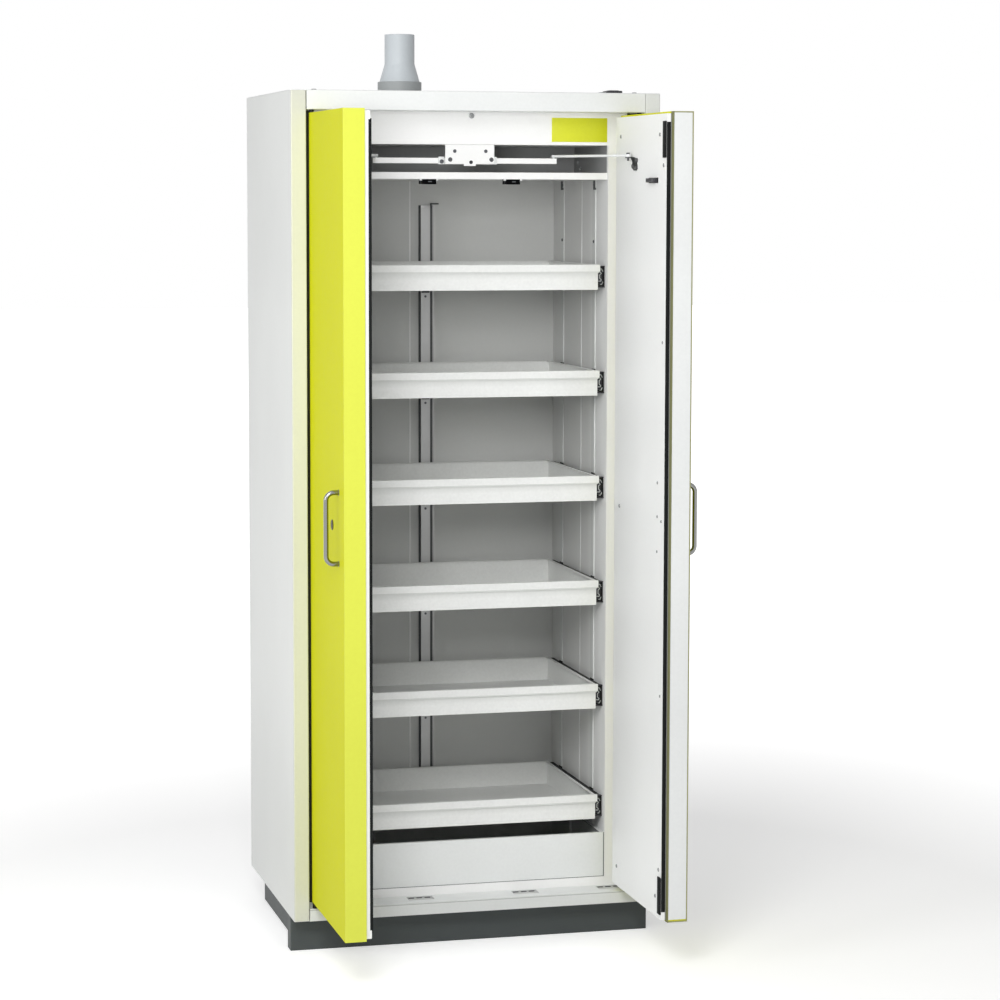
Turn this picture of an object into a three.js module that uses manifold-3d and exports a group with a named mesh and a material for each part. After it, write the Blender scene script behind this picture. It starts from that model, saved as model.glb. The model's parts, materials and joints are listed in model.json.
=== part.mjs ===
// Fireproof safety cabinet with two wing doors, six drawers on telescopic slides and a sump tray.
// Millimetres, +Z up, front towards -Y, doors standing open at a right angle.

import * as THREE from 'three';
import { mergeVertices } from 'three/addons/utils/BufferGeometryUtils.js';
import Module from 'manifold-3d';

const wasm = await Module();
wasm.setup();

// Shared sizes
const SHEET = 1.5;
const FIT = 0.3;
const OVERRUN = 5;
const BEND = 2.5;
const BEND_STEPS = 3;

// Body
const BODY_W = 896;
const BODY_D = 616;
const BODY_H = 1966;
const SIDE_WALL = 108;
const REAR_WALL = 59;
const TOP_WALL = 123;
const FLOOR_WALL = 51;
const STRIP_W = 36;
const REAR_FLANGE = 28;
const FASCIA_H = 46;
const SILL_H = 30;
const SEAM = 1.2;
const REBATE_D = 70;
const FRAME_T = 12;

// Pockets in the sill ledge
const POCKET_W = 64;
const POCKET_D = 35;
const POCKET_FRONT = 26;
const POCKET_INNER_X = 131;
const POCKET_FROM_SEAM = 66;

// Base
const PLINTH_H = 85;
const PLINTH_SETBACK = 62;
const PLINTH_SHEET = 2;
const PLINTH_RETURN = 38;
const PLINTH_SIDE_GAP = 1.2;
const BASE_INSET_X = 30;
const BASE_INSET_REAR = 28;
const BASE_STEEL = 3;
const BASE_FLANGE = 32;

// Exhaust socket and reducer
const VENT_X = -80;
const VENT_FROM_REAR = 120;
const COLLAR_R = 55;
const COLLAR_H = 39;
const CONE_H = 43;
const PIPE_R = 37.5;
const PIPE_H = 75;
const PIPE_WALL = 2.5;
const COLLAR_WALL = 4.5;
const VENT_GAP = 0.3;
const VENT_SIDES = 32;

// Cap on the roof
const CAP_FROM_SIDE = 90;
const CAP_Y = 98;
const CAP_W = 38;
const CAP_D = 44;
const CAP_H = 8;
const CAP_BEVEL = 3;

// Doors
const DOOR_SIDE_GAP = 4;
const DOOR_TOP_GAP = 7.5;
const DOOR_BOTTOM_GAP = 16;
const DOOR_MEETING_GAP = 4;
const DOOR_PAN_D = 49;
const DOOR_PLUG_D = 13;
const PLUG_INSET = 5;
const PLUG_BEVEL = 2;
const AXIS_INSET = 10;
const AXIS_DEPTH = 6;
const EDGE_ROUND = 8;
const EDGE_ROUND_STEPS = 6;
const FOLD_W = 12;
const STRIP_RIM = 2.8;
const STRIP_T = 1.5;

// Hinge rods
const ROD_R = 3.5;
const ROD_BOSS_R = 5.5;
const ROD_CLEARANCE = 0.4;
const ROD_SIDES = 16;

// Edge seals
const SEAL_W = 10;
const SEAL_LEFT_SEAT = 4;
const SEAL_LEFT_PROUD = 3.5;
const SEAL_RIGHT_SEAT = 10;
const SEAL_RIGHT_PROUD = 0.6;
const PAD_T = 3.5;
const PAD_W = 27;
const PAD_L = 86;
const SEAL_FROM_END = 24;

// Handles
const HANDLE_R = 6;
const HANDLE_SPAN = 160;
const HANDLE_REACH = 31;
const HANDLE_BEND = 18;
const HANDLE_FROM_EDGE = 59;
const HANDLE_SHARE = 0.5;
const HANDLE_SIDES = 10;
const HANDLE_STEPS = 26;

// Lock
const LOCK_FROM_EDGE = 133;
const LOCK_R = 8.5;
const LOCK_HEAD_R = 12;
const LOCK_HEAD_T = 2.6;
const LOCK_L = 30;
const LOCK_CLEARANCE = 0.5;
const KEYWAY_W = 2.4;
const KEYWAY_L = 9;
const KEYWAY_D = 7;
const LOCK_SIDES = 20;

// Door catches
const CATCH_FROM_EDGE = 138;
const CATCH_L = 71;
const CATCH_H = 12.5;
const CATCH_REACH = 13;
const CATCH_NOSE = 12;
const CATCH_RISE = -3.5;

// Ceiling cover
const COVER_DROP = 82;
const COVER_H = 16;
const COVER_FRONT_Y = 76;
const CLIP_W = 38;
const CLIP_H = 12;
const CLIP_D = 22;
const CLIP_X = 103;

// Door closer
const PLATE_X = -4;
const PLATE_W = 120;
const PLATE_FRONT_Y = 68.5;
const PLATE_STEEL = 1.5;
const PLATE_DEPTH = 31.5;
const PLATE_TAB_W = 29;
const PLATE_TAB_H = 4;
const RAIL_DROP = 45;
const RAIL_H = 13;
const RAIL_Y = 88;
const RAIL_INNER_W = 18;
const RAIL_TAIL = 5;
const ARM_R = 3;
const ARM_PIVOT_DEPTH = 68;
const ARM_PIVOT_U = 131.6;
const ARM_SIDES = 8;
const EYE_R = 6.5;
const EYE_H = 6;
const EYE_SIDES = 14;
const ARM_PIN_R = 2.5;
const ARM_PIN_CLEARANCE = 0.4;
const ARM_LEFT_REACH = 228;
const ARM_RIGHT_REACH = 208;
const RUNNER_GAP = 1;
const BRACKET_W = 36;
const BRACKET_TOWARDS_EDGE = 8;
const BRACKET_DROP = 31;
const BRACKET_STEEL = 2.5;

// Drawers
const DRAWER_SHARES = [0.834, 0.6734, 0.5128, 0.3522, 0.1916, 0.0194];
const DRAWER_FRONT_Y = 90;
const DRAWER_REAR_GAP = 27;
const DRAWER_H = 61;
const DRAWER_SHEET = 1.2;
const DRAWER_SIDE_GAP = 18.5;
const LIP_H = 20;
const LIP_REACH = 4;
const LIP_SIDE = 4.5;
const LIP_BEVEL = 4;
const RIM_W = 8;

// Telescopic slides
const SLIDE_H = 50;
const SLIDE_OVER_BOTTOM = 7;
const SLIDE_FROM_FRONT = 2.3;
const SLIDE_STEEL = 1.5;
const SLIDE_PLAY = 0.6;
const SLIDE_FIXED_DEPTH = 9.2;
const SLIDE_MIDDLE_DEPTH = 9.6;
const UPRIGHT_W = 25;
const UPRIGHT_T = 2.1;
const UPRIGHT_OVERLAP = 0.6;
const UPRIGHT_FRONT_Y = 182;
const UPRIGHT_FROM_REAR = 91;
const UPRIGHT_FOOT_GAP = 2;

// Air duct
const DUCT_FACE_W = 22;
const DUCT_W = 36;
const DUCT_D = 12;
const DUCT_SHEET = 1;
const DUCT_SLOT_W = 8;
const DUCT_SLOT_H = 30;
const DUCT_SLOT_OVER_DRAWER = 110;
const DUCT_FOOT_GAP = 4;

// Sump tray
const SUMP_H = 110;
const SUMP_FRONT_Y = 71;
const SUMP_REAR_GAP = 9;
const SUMP_SIDE_GAP = 1.3;
const SUMP_RIM = 9;

// Places worked out from the sizes above
const halfW = BODY_W / 2;
const bottomZ = PLINTH_H;
const topZ = bottomZ + BODY_H;
const seamX = halfW - STRIP_W;
const innerX = halfW - SIDE_WALL;
const innerRearY = BODY_D - REAR_WALL;
const innerFloorZ = bottomZ + FLOOR_WALL;
const innerTopZ = topZ - TOP_WALL;
const headerZ = topZ - FASCIA_H;
const sillZ = bottomZ + SILL_H;
const skinX = halfW - SHEET - FIT;
const skinRearY = BODY_D - SHEET - FIT;
const boardFrontY = REBATE_D + FRAME_T + FIT;
const boardBottomZ = bottomZ + SHEET + FIT;
const boardTopZ = topZ - SHEET - FIT;
const axisX = seamX - DOOR_SIDE_GAP - AXIS_INSET;
const axisY = AXIS_DEPTH;
const freeU = axisX - DOOR_MEETING_GAP / 2;
const outerW = -AXIS_DEPTH;
const panW = outerW + DOOR_PAN_D;
const plugW = panW + DOOR_PLUG_D;
const doorBottomZ = sillZ + DOOR_BOTTOM_GAP;
const doorTopZ = headerZ - DOOR_TOP_GAP;
const plugFreeU = freeU - PLUG_INSET;
const drawerX = innerX - DRAWER_SIDE_GAP;
const drawerRearY = innerRearY - DRAWER_REAR_GAP;
const uprightRearY = innerRearY - UPRIGHT_FROM_REAR;
const ventY = BODY_D - VENT_FROM_REAR;
const coverZ = innerTopZ - COVER_DROP;
const railZ = innerTopZ - RAIL_DROP;
const sumpTopZ = innerFloorZ + SUMP_H;
const drawerBottoms = DRAWER_SHARES.map((share) => sumpTopZ + share * (coverZ - sumpTopZ));
const handleZ = doorBottomZ + HANDLE_SHARE * (doorTopZ - doorBottomZ);
const armZ = railZ + RAIL_H + FIT + PLATE_STEEL + FIT + EYE_H / 2;

const LEFT = -1;
const RIGHT = 1;
const SIDES = [['left', LEFT], ['right', RIGHT]];

// Finishes
const finish = (color, roughness, metalness) =>
  new THREE.MeshStandardMaterial({ color, roughness, metalness });
const WHITE = () => finish(0xeef0ee, 0.45, 0);
const YELLOW = () => finish(0xe3ea45, 0.4, 0);
const DARK = () => finish(0x3c403f, 0.55, 0);
const BLACK = () => finish(0x16181a, 0.6, 0);
const GREY_PLASTIC = () => finish(0xa9aeb1, 0.5, 0);
const STEEL = () => finish(0xb9bcbe, 0.35, 1);
const DARK_STEEL = () => finish(0x2b2d2f, 0.45, 1);
const BOARD = () => finish(0xe4e5e2, 0.8, 0);

// Geometry helpers

function signedVolume(geometry) {
  const place = geometry.getAttribute('position');
  const index = geometry.getIndex();
  const [a, b, c] = [new THREE.Vector3(), new THREE.Vector3(), new THREE.Vector3()];
  let sum = 0;
  for (let i = 0; i < index.count; i += 3) {
    a.fromBufferAttribute(place, index.getX(i));
    b.fromBufferAttribute(place, index.getX(i + 1));
    c.fromBufferAttribute(place, index.getX(i + 2));
    sum += a.dot(b.cross(c));
  }
  return sum;
}

// A closed geometry with shared vertices and its faces pointing out
function welded(geometry) {
  geometry.deleteAttribute('normal');
  geometry.deleteAttribute('uv');
  const merged = mergeVertices(geometry);
  if (signedVolume(merged) < 0) {
    const index = merged.getIndex();
    for (let i = 0; i < index.count; i += 3) {
      const first = index.getX(i);
      index.setX(i, index.getX(i + 1));
      index.setX(i + 1, first);
    }
  }
  return merged;
}

function toSolid(geometry) {
  const merged = welded(geometry);
  const vertProperties = new Float32Array(merged.getAttribute('position').array);
  const triVerts = new Uint32Array(merged.getIndex().array);
  return new wasm.Manifold(new wasm.Mesh({ numProp: 3, vertProperties, triVerts }));
}

function fromSolid(solid) {
  const mesh = solid.getMesh();
  const geometry = new THREE.BufferGeometry();
  geometry.setAttribute('position', new THREE.BufferAttribute(mesh.vertProperties, 3));
  geometry.setIndex(new THREE.BufferAttribute(mesh.triVerts, 1));
  return geometry;
}

function combined(start, joins, cuts = []) {
  let solid = toSolid(start);
  for (const geometry of joins) solid = solid.add(toSolid(geometry));
  for (const geometry of cuts) solid = solid.subtract(toSolid(geometry));
  return fromSolid(solid);
}

function box(x, y, z) {
  const size = [x, y, z].map(([low, high]) => high - low);
  const middle = [x, y, z].map(([low, high]) => (low + high) / 2);
  return new THREE.BoxGeometry(...size).translate(...middle);
}

function extruded(outline, low, high) {
  const shape = new THREE.Shape(outline.map(([a, b]) => new THREE.Vector2(a, b)));
  const geometry = new THREE.ExtrudeGeometry(shape, { depth: high - low, bevelEnabled: false });
  return geometry.translate(0, 0, low);
}

// An outline in x and y raised from z low to z high
const alongZ = (outline, low, high) => extruded(outline, low, high);

// An outline in y and z drawn out along x
function alongX(outline, low, high) {
  const [x, y, z] = [[1, 0, 0], [0, 1, 0], [0, 0, 1]].map((axis) => new THREE.Vector3(...axis));
  return extruded(outline, low, high).applyMatrix4(new THREE.Matrix4().makeBasis(y, z, x));
}

// An outline in x and z drawn out along y
function alongY(outline, low, high) {
  const [x, y, z] = [[1, 0, 0], [0, 1, 0], [0, 0, 1]].map((axis) => new THREE.Vector3(...axis));
  const turned = outline.map(([a, b]) => [b, a]);
  return extruded(turned, low, high).applyMatrix4(new THREE.Matrix4().makeBasis(z, x, y));
}

// A profile of radius and height turned about the z axis
function turned(profile, sides) {
  const points = profile.map(([radius, height]) => new THREE.Vector2(radius, height));
  return new THREE.LatheGeometry(points, sides).rotateX(Math.PI / 2);
}

function roundBar(radius, low, high, sides) {
  return turned([[0, low], [radius, low], [radius, high], [0, high]], sides);
}

// The corners of a line or a closed outline, each rounded by its own radius
function rounded(points, radii, closed, steps = BEND_STEPS) {
  const count = points.length;
  const out = [];
  points.forEach((point, i) => {
    const free = !closed && (i === 0 || i === count - 1);
    if (free || !radii[i]) {
      out.push(point);
      return;
    }
    const here = new THREE.Vector2(...point);
    const back = new THREE.Vector2(...points[(i + count - 1) % count]).sub(here).normalize();
    const on = new THREE.Vector2(...points[(i + 1) % count]).sub(here).normalize();
    const half = Math.acos(THREE.MathUtils.clamp(back.dot(on), -1, 1)) / 2;
    const toCentre = back.clone().add(on).normalize().multiplyScalar(radii[i] / Math.sin(half));
    const reach = radii[i] / Math.tan(half);
    const from = back.multiplyScalar(reach).sub(toCentre);
    const to = on.multiplyScalar(reach).sub(toCentre);
    const swing = Math.atan2(from.cross(to), from.dot(to));
    for (let k = 0; k <= steps; k += 1) {
      const spoke = from.clone().rotateAround(new THREE.Vector2(), (swing * k) / steps);
      out.push([here.x + toCentre.x + spoke.x, here.y + toCentre.y + spoke.y]);
    }
  });
  return out;
}

// The outline of a folded sheet: the line is one face, the other lies a thickness to its left
function foldedSheet(line, thickness, bend) {
  const steps = line.slice(1).map((point, i) =>
    new THREE.Vector2(point[0] - line[i][0], point[1] - line[i][1]).normalize());
  const left = steps.map((step) => new THREE.Vector2(-step.y, step.x));
  const other = [];
  const nearRadii = [];
  const farRadii = [];
  line.forEach(([a, b], i) => {
    const before = left[Math.max(i - 1, 0)];
    const after = left[Math.min(i, left.length - 1)];
    const lean = before.clone().add(after);
    const scale = (2 * thickness) / lean.lengthSq();
    other.push([a + lean.x * scale, b + lean.y * scale]);
    const turnsLeft = i > 0 && i < left.length && steps[i - 1].cross(steps[i]) > 0;
    nearRadii.push(turnsLeft ? bend : bend - thickness);
    farRadii.push(turnsLeft ? bend - thickness : bend);
  });
  const near = rounded(line, nearRadii, false);
  const far = rounded(other, farRadii, false);
  return [...near, ...far.reverse()];
}

const mirrored = (side, outline) => outline.map(([x, y]) => [side * x, y]);
const span = (centre, width) => [centre - width / 2, centre + width / 2];
const sideSpan = (side, low, high) => [side * low, side * high].sort((a, b) => a - b);

const cabinet = new THREE.Group();

function piece(name, geometry, material, parent = cabinet) {
  const mesh = new THREE.Mesh(geometry, material);
  mesh.name = name;
  parent.add(mesh);
  return mesh;
}

// Casing

function sidePanel(side) {
  const line = [
    [seamX, REBATE_D - FIT], [seamX, 0], [halfW, 0], [halfW, BODY_D], [halfW - REAR_FLANGE, BODY_D],
  ];
  return alongZ(mirrored(side, foldedSheet(line, SHEET, BEND)), boardBottomZ, boardTopZ);
}

// A flat panel over the whole plan of the casing, behind the front bend
function planPanel(low, high) {
  const corners = [[-halfW, BEND], [halfW, BEND], [halfW, BODY_D], [-halfW, BODY_D]];
  return alongZ(rounded(corners, corners.map(() => BEND), true, 1), low, high);
}

function roofPanel() {
  const line = [[REBATE_D - FIT, headerZ], [0, headerZ], [0, topZ], [REBATE_D, topZ]].reverse();
  const fascia = alongX(foldedSheet(line, SHEET, BEND), -seamX + SEAM, seamX - SEAM);
  const plate = planPanel(topZ - SHEET, topZ);
  return combined(plate, [fascia], [ventHole(topZ - OVERRUN, topZ + OVERRUN)]);
}

function rearPanel() {
  const inside = halfW - REAR_FLANGE - FIT;
  return box([-inside, inside], [BODY_D - SHEET, BODY_D], [boardBottomZ, boardTopZ]);
}

function sillPanel() {
  const line = [
    [REBATE_D - FIT, bottomZ + SHEET + FIT], [REBATE_D - FIT, sillZ], [0, sillZ], [0, bottomZ],
  ];
  const ledge = alongX(foldedSheet(line, SHEET, BEND), -seamX + SEAM, seamX - SEAM);
  const middles = SIDES.flatMap(([, side]) =>
    [side * POCKET_INNER_X, side * (seamX - POCKET_FROM_SEAM)]);
  const pockets = middles.map((x) => box(
    span(x, POCKET_W), [POCKET_FRONT, POCKET_FRONT + POCKET_D],
    [sillZ - OVERRUN, sillZ + OVERRUN]));
  return combined(ledge, [], pockets);
}

function frontFrame() {
  const edge = seamX - FIT;
  const depth = [REBATE_D, REBATE_D + FRAME_T];
  const through = [REBATE_D - OVERRUN, REBATE_D + FRAME_T + OVERRUN];
  return combined(
    box([-edge, edge], depth, [boardBottomZ, boardTopZ]),
    [],
    [box([-innerX, innerX], through, [innerFloorZ, innerTopZ])],
  );
}

// Insulating boards

function sideBoard(side) {
  const noseX = seamX + SHEET + FIT;
  const outline = [
    [innerX, boardFrontY], [noseX, boardFrontY], [noseX, SHEET + FIT], [skinX, SHEET + FIT],
    [skinX, skinRearY], [innerX, skinRearY],
  ];
  const inBend = BEND - SHEET;
  const eased = rounded(outline, [0, 0, inBend, inBend, inBend, 0], true, 1);
  return alongZ(mirrored(side, eased), boardBottomZ, boardTopZ);
}

function ventHole(low, high) {
  const hole = roundBar(PIPE_R + VENT_GAP, low, high, VENT_SIDES);
  return hole.translate(VENT_X, ventY, 0);
}

function roofBoard() {
  const inside = innerX - FIT;
  return combined(
    box([-inside, inside], [boardFrontY, skinRearY], [innerTopZ, boardTopZ]),
    [],
    [ventHole(innerTopZ - OVERRUN, boardTopZ + OVERRUN)],
  );
}

function floorBoard() {
  const inside = innerX - FIT;
  return box([-inside, inside], [boardFrontY, skinRearY], [boardBottomZ, innerFloorZ]);
}

function rearBoard() {
  const inside = innerX - FIT;
  return box([-inside, inside], [innerRearY, skinRearY], [innerFloorZ + FIT, innerTopZ - FIT]);
}

// Base

function baseFrame() {
  const edge = halfW - BASE_INSET_X;
  const frontY = PLINTH_SETBACK + PLINTH_SHEET + FIT;
  const rearY = BODY_D - BASE_INSET_REAR;
  const top = PLINTH_H - FIT;
  const ring = (inset) => [[-edge + inset, edge - inset], [frontY + inset, rearY - inset]];
  return combined(box(...ring(0), [0, top]), [], [
    box(...ring(BASE_FLANGE), [-OVERRUN, top + OVERRUN]),
    box(...ring(BASE_STEEL), [BASE_STEEL, top - BASE_STEEL]),
  ]);
}

function plinthPanel() {
  const edge = halfW - PLINTH_SIDE_GAP;
  const front = PLINTH_SETBACK;
  const line = [
    [-edge, front + PLINTH_RETURN], [-edge, front], [edge, front], [edge, front + PLINTH_RETURN],
  ];
  return alongZ(foldedSheet(line, PLINTH_SHEET, BEND), 0, PLINTH_H - FIT);
}

// Exhaust

function ventSocket() {
  const bore = PIPE_R - PIPE_WALL;
  const seat = COLLAR_R - COLLAR_WALL;
  const foot = topZ + FIT;
  const profile = [
    [bore, innerTopZ], [PIPE_R, innerTopZ], [PIPE_R, foot], [COLLAR_R, foot],
    [COLLAR_R, foot + COLLAR_H], [seat, foot + COLLAR_H], [seat, foot + COLLAR_WALL],
    [bore, foot + COLLAR_WALL], [bore, innerTopZ],
  ];
  return turned(profile, VENT_SIDES).translate(VENT_X, ventY, 0);
}

function ventReducer() {
  const wide = COLLAR_R - COLLAR_WALL - FIT;
  const foot = topZ + COLLAR_WALL + FIT + FIT;
  const shoulder = topZ + COLLAR_H;
  const neck = shoulder + CONE_H;
  const end = neck + PIPE_H;
  const profile = [
    [wide - PIPE_WALL, foot], [wide, foot], [wide, shoulder], [PIPE_R, neck], [PIPE_R, end],
    [PIPE_R - PIPE_WALL, end], [PIPE_R - PIPE_WALL, neck], [wide - PIPE_WALL, shoulder],
    [wide - PIPE_WALL, foot],
  ];
  return turned(profile, VENT_SIDES).translate(VENT_X, ventY, 0);
}

function roofCap() {
  const foot = topZ + FIT;
  const [low, high] = span(halfW - CAP_FROM_SIDE, CAP_W);
  const outline = [
    [low, foot], [high, foot], [high, foot + CAP_H - CAP_BEVEL], [high - CAP_BEVEL, foot + CAP_H],
    [low + CAP_BEVEL, foot + CAP_H], [low, foot + CAP_H - CAP_BEVEL],
  ];
  return alongY(outline, ...span(CAP_Y, CAP_D));
}

// Inside of the cabinet

function ceilingCover() {
  const edge = innerX - FIT - FIT;
  const wall = edge - SHEET;
  const rear = innerRearY - FIT;
  const roof = coverZ + COVER_H;
  const shell = box([-edge, edge], [COVER_FRONT_Y, rear], [coverZ, roof]);
  const hollow = box(
    [-wall, wall], [COVER_FRONT_Y + SHEET, rear - SHEET], [coverZ - OVERRUN, roof - SHEET]);
  const clips = SIDES.map(([, side]) => box(
    span(side * CLIP_X, CLIP_W), [COVER_FRONT_Y + SHEET / 2, COVER_FRONT_Y + CLIP_D],
    [coverZ - CLIP_H, roof - SHEET / 2]));
  const outlet = box(
    span(0, DUCT_FACE_W), [rear - DUCT_D, rear - SHEET], [roof - OVERRUN, roof + OVERRUN]);
  const cut = fromSolid(toSolid(shell).subtract(toSolid(hollow)));
  return combined(cut, clips, [outlet]);
}

function airDuct() {
  const back = innerRearY - FIT - DUCT_SHEET;
  const front = back - DUCT_D;
  const line = [
    [-DUCT_W / 2, back], [-DUCT_FACE_W / 2, front], [DUCT_FACE_W / 2, front], [DUCT_W / 2, back],
  ];
  const foot = sumpTopZ + DUCT_FOOT_GAP;
  const hat = alongZ(foldedSheet(line, DUCT_SHEET, DUCT_SHEET), foot, coverZ - FIT);
  const slots = drawerBottoms.map((z) => box(
    span(0, DUCT_SLOT_W), [front - OVERRUN, front + DUCT_SHEET + DUCT_SHEET],
    span(z + DUCT_SLOT_OVER_DRAWER, DUCT_SLOT_H)));
  return combined(hat, [], slots);
}

function sumpTray() {
  const edge = innerX - SUMP_SIDE_GAP;
  const rear = innerRearY - SUMP_REAR_GAP;
  const foot = innerFloorZ + FIT;
  const top = sumpTopZ;
  const ring = (inset) => [[-edge + inset, edge - inset], [SUMP_FRONT_Y + inset, rear - inset]];
  return combined(box(...ring(0), [foot, top]), [], [
    box(...ring(SHEET), [foot + SHEET, top - SHEET]),
    box(...ring(SUMP_RIM), [top - OVERRUN, top + OVERRUN]),
  ]);
}

// Telescopic slides: three nested channels, the outer fixed, the inner on the drawer

const fixedWeb = innerX - FIT - UPRIGHT_T + UPRIGHT_OVERLAP;
const middleWeb = fixedWeb - SLIDE_STEEL - SLIDE_PLAY;
const innerTip = middleWeb - SLIDE_STEEL - SLIDE_PLAY;
const middleH = SLIDE_H - 2 * (SLIDE_STEEL + SLIDE_PLAY);
const innerH = middleH - 2 * (SLIDE_STEEL + SLIDE_PLAY);
const slideFrontY = DRAWER_FRONT_Y + SLIDE_FROM_FRONT;
const slideRearY = drawerRearY + SLIDE_FROM_FRONT;

// A channel whose web stands at web and whose flanges reach to tip
function channel(side, web, tip, height, midZ) {
  const [low, high] = span(midZ, height);
  const line = [[tip, low], [web, low], [web, high], [tip, high]];
  const facing = web > tip ? line : [...line].reverse();
  const outline = foldedSheet(facing, SLIDE_STEEL, SLIDE_STEEL);
  return alongY(mirrored(side, outline), slideFrontY, slideRearY);
}

const slideMidZ = (bottom) => bottom + SLIDE_OVER_BOTTOM + SLIDE_H / 2;

function slideRack(side) {
  const back = innerX - FIT;
  const foot = sumpTopZ + UPRIGHT_FOOT_GAP;
  const uprights = [UPRIGHT_FRONT_Y, uprightRearY].map((y) => box(
    sideSpan(side, back - UPRIGHT_T, back), span(y, UPRIGHT_W), [foot, coverZ - FIT]));
  const rails = drawerBottoms.map((z) =>
    channel(side, fixedWeb, fixedWeb - SLIDE_FIXED_DEPTH, SLIDE_H, slideMidZ(z)));
  return combined(rails[0], [...uprights, ...rails.slice(1)]);
}

function middleMember(side) {
  return channel(side, middleWeb, middleWeb - SLIDE_MIDDLE_DEPTH, middleH, slideMidZ(0));
}

// Drawer tray with its lip and its slide members, its underside at height zero
function drawer() {
  const front = DRAWER_FRONT_Y;
  const rear = drawerRearY;
  const edge = drawerX;
  const shell = box([-edge, edge], [front, rear], [0, DRAWER_H]);
  const hollow = box(
    [-edge + DRAWER_SHEET, edge - DRAWER_SHEET], [front + DRAWER_SHEET, rear - DRAWER_SHEET],
    [DRAWER_SHEET, DRAWER_H - DRAWER_SHEET]);
  const mouth = box(
    [-edge + RIM_W, edge - RIM_W], [front + RIM_W, rear - RIM_W],
    [DRAWER_H - OVERRUN, DRAWER_H + OVERRUN]);
  const lipX = edge + LIP_SIDE;
  const lipLow = DRAWER_H - LIP_H;
  const lip = alongY([
    [-lipX + LIP_BEVEL, lipLow], [lipX - LIP_BEVEL, lipLow], [lipX, lipLow + LIP_BEVEL],
    [lipX, DRAWER_H], [-lipX, DRAWER_H], [-lipX, lipLow + LIP_BEVEL],
  ], front - LIP_REACH, front + DRAWER_SHEET);
  const tray = fromSolid(toSolid(shell).subtract(toSolid(hollow)).subtract(toSolid(mouth)));
  const members = SIDES.map(([, side]) => channel(side, edge - FIT, innerTip, innerH, slideMidZ(0)));
  return combined(tray, [lip, ...members]);
}

// Door closer

function closerPlate() {
  const shelf = railZ - FIT - PLATE_STEEL;
  const top = innerTopZ - FIT;
  const back = PLATE_FRONT_Y + PLATE_DEPTH;
  const line = [[back, top], [PLATE_FRONT_Y, top], [PLATE_FRONT_Y, shelf], [back, shelf]];
  const body = alongX(foldedSheet(line, PLATE_STEEL, BEND), ...span(PLATE_X, PLATE_W));
  const tab = box(
    span(PLATE_X, PLATE_TAB_W), [PLATE_FRONT_Y, PLATE_FRONT_Y + PLATE_STEEL],
    [shelf - PLATE_TAB_H, shelf + PLATE_STEEL]);
  return combined(body, [tab]);
}

function closerRail() {
  const [front, back] = span(RAIL_Y, RAIL_INNER_W + 2 * SHEET);
  const top = railZ + RAIL_H;
  const line = [[front, top], [front, railZ], [back, railZ], [back, top]];
  return alongX(
    foldedSheet(line, SHEET, SHEET), -ARM_LEFT_REACH - RAIL_TAIL, ARM_RIGHT_REACH + RAIL_TAIL);
}

// An arm rod with an eye at its door end and a runner pin at its rail end, along +x from the eye
function closerArm(length) {
  const rodStart = EYE_R - (ARM_PIN_R + ARM_PIN_CLEARANCE) / 2;
  const rod = roundBar(ARM_R, rodStart, length, ARM_SIDES).rotateY(Math.PI / 2);
  const eye = roundBar(EYE_R, -EYE_H / 2, EYE_H / 2, EYE_SIDES);
  const bore = roundBar(ARM_PIN_R + ARM_PIN_CLEARANCE, -EYE_H, EYE_H, EYE_SIDES);
  const head = roundBar(EYE_R - SHEET, -EYE_H / 2, EYE_H / 2, EYE_SIDES).translate(length, 0, 0);
  const tip = railZ + SHEET + RUNNER_GAP - armZ;
  const pin = roundBar(ARM_PIN_R, tip, 0, EYE_SIDES).translate(length, 0, 0);
  return combined(eye, [rod, head, pin], [bore]);
}

// Angle bracket on the inside of a door, its pin standing up through the arm's eye
function armBracket(side) {
  const seat = plugW + FIT;
  const earTop = armZ - EYE_H / 2 - FIT;
  const plate = doorBox(
    side, span(ARM_PIVOT_U + BRACKET_TOWARDS_EDGE, BRACKET_W), [seat, seat + BRACKET_STEEL],
    [earTop - BRACKET_DROP, earTop]);
  const ear = doorBox(
    side, span(ARM_PIVOT_U, EYE_R + EYE_R), [seat, ARM_PIVOT_DEPTH], [earTop - BRACKET_STEEL, earTop]);
  const [x, y] = doorPoint(side, ARM_PIVOT_U, ARM_PIVOT_DEPTH);
  const nose = roundBar(EYE_R, earTop - BRACKET_STEEL, earTop, EYE_SIDES).translate(x, y, 0);
  const pin = roundBar(ARM_PIN_R, earTop - BRACKET_STEEL, armZ + EYE_H / 2 + FIT, EYE_SIDES);
  return combined(plate, [ear, nose, pin.translate(x, y, 0)]);
}

// Doors: u runs from the hinge axis to the free edge, w from the outer face to the inner face

const doorPoint = (side, u, w) => [-side * w, -u];
const doorPrism = (side, outline, low, high) =>
  alongZ(outline.map(([u, w]) => doorPoint(side, u, w)), low, high);

function doorBox(side, u, w, z) {
  const outline = [[u[0], w[0]], [u[1], w[0]], [u[1], w[1]], [u[0], w[1]]];
  return doorPrism(side, outline, ...z);
}

function panOutline(inset, freeEdge) {
  const corners = [
    [-AXIS_INSET + inset, outerW + inset], [freeEdge, outerW + inset],
    [freeEdge, panW - inset], [-AXIS_INSET + inset, panW - inset],
  ];
  return rounded(corners, [EDGE_ROUND - inset, 0, 0, 0], true, EDGE_ROUND_STEPS);
}

function rodHole() {
  return roundBar(ROD_R + ROD_CLEARANCE, doorBottomZ - OVERRUN, doorTopZ + OVERRUN, ROD_SIDES);
}

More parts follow.
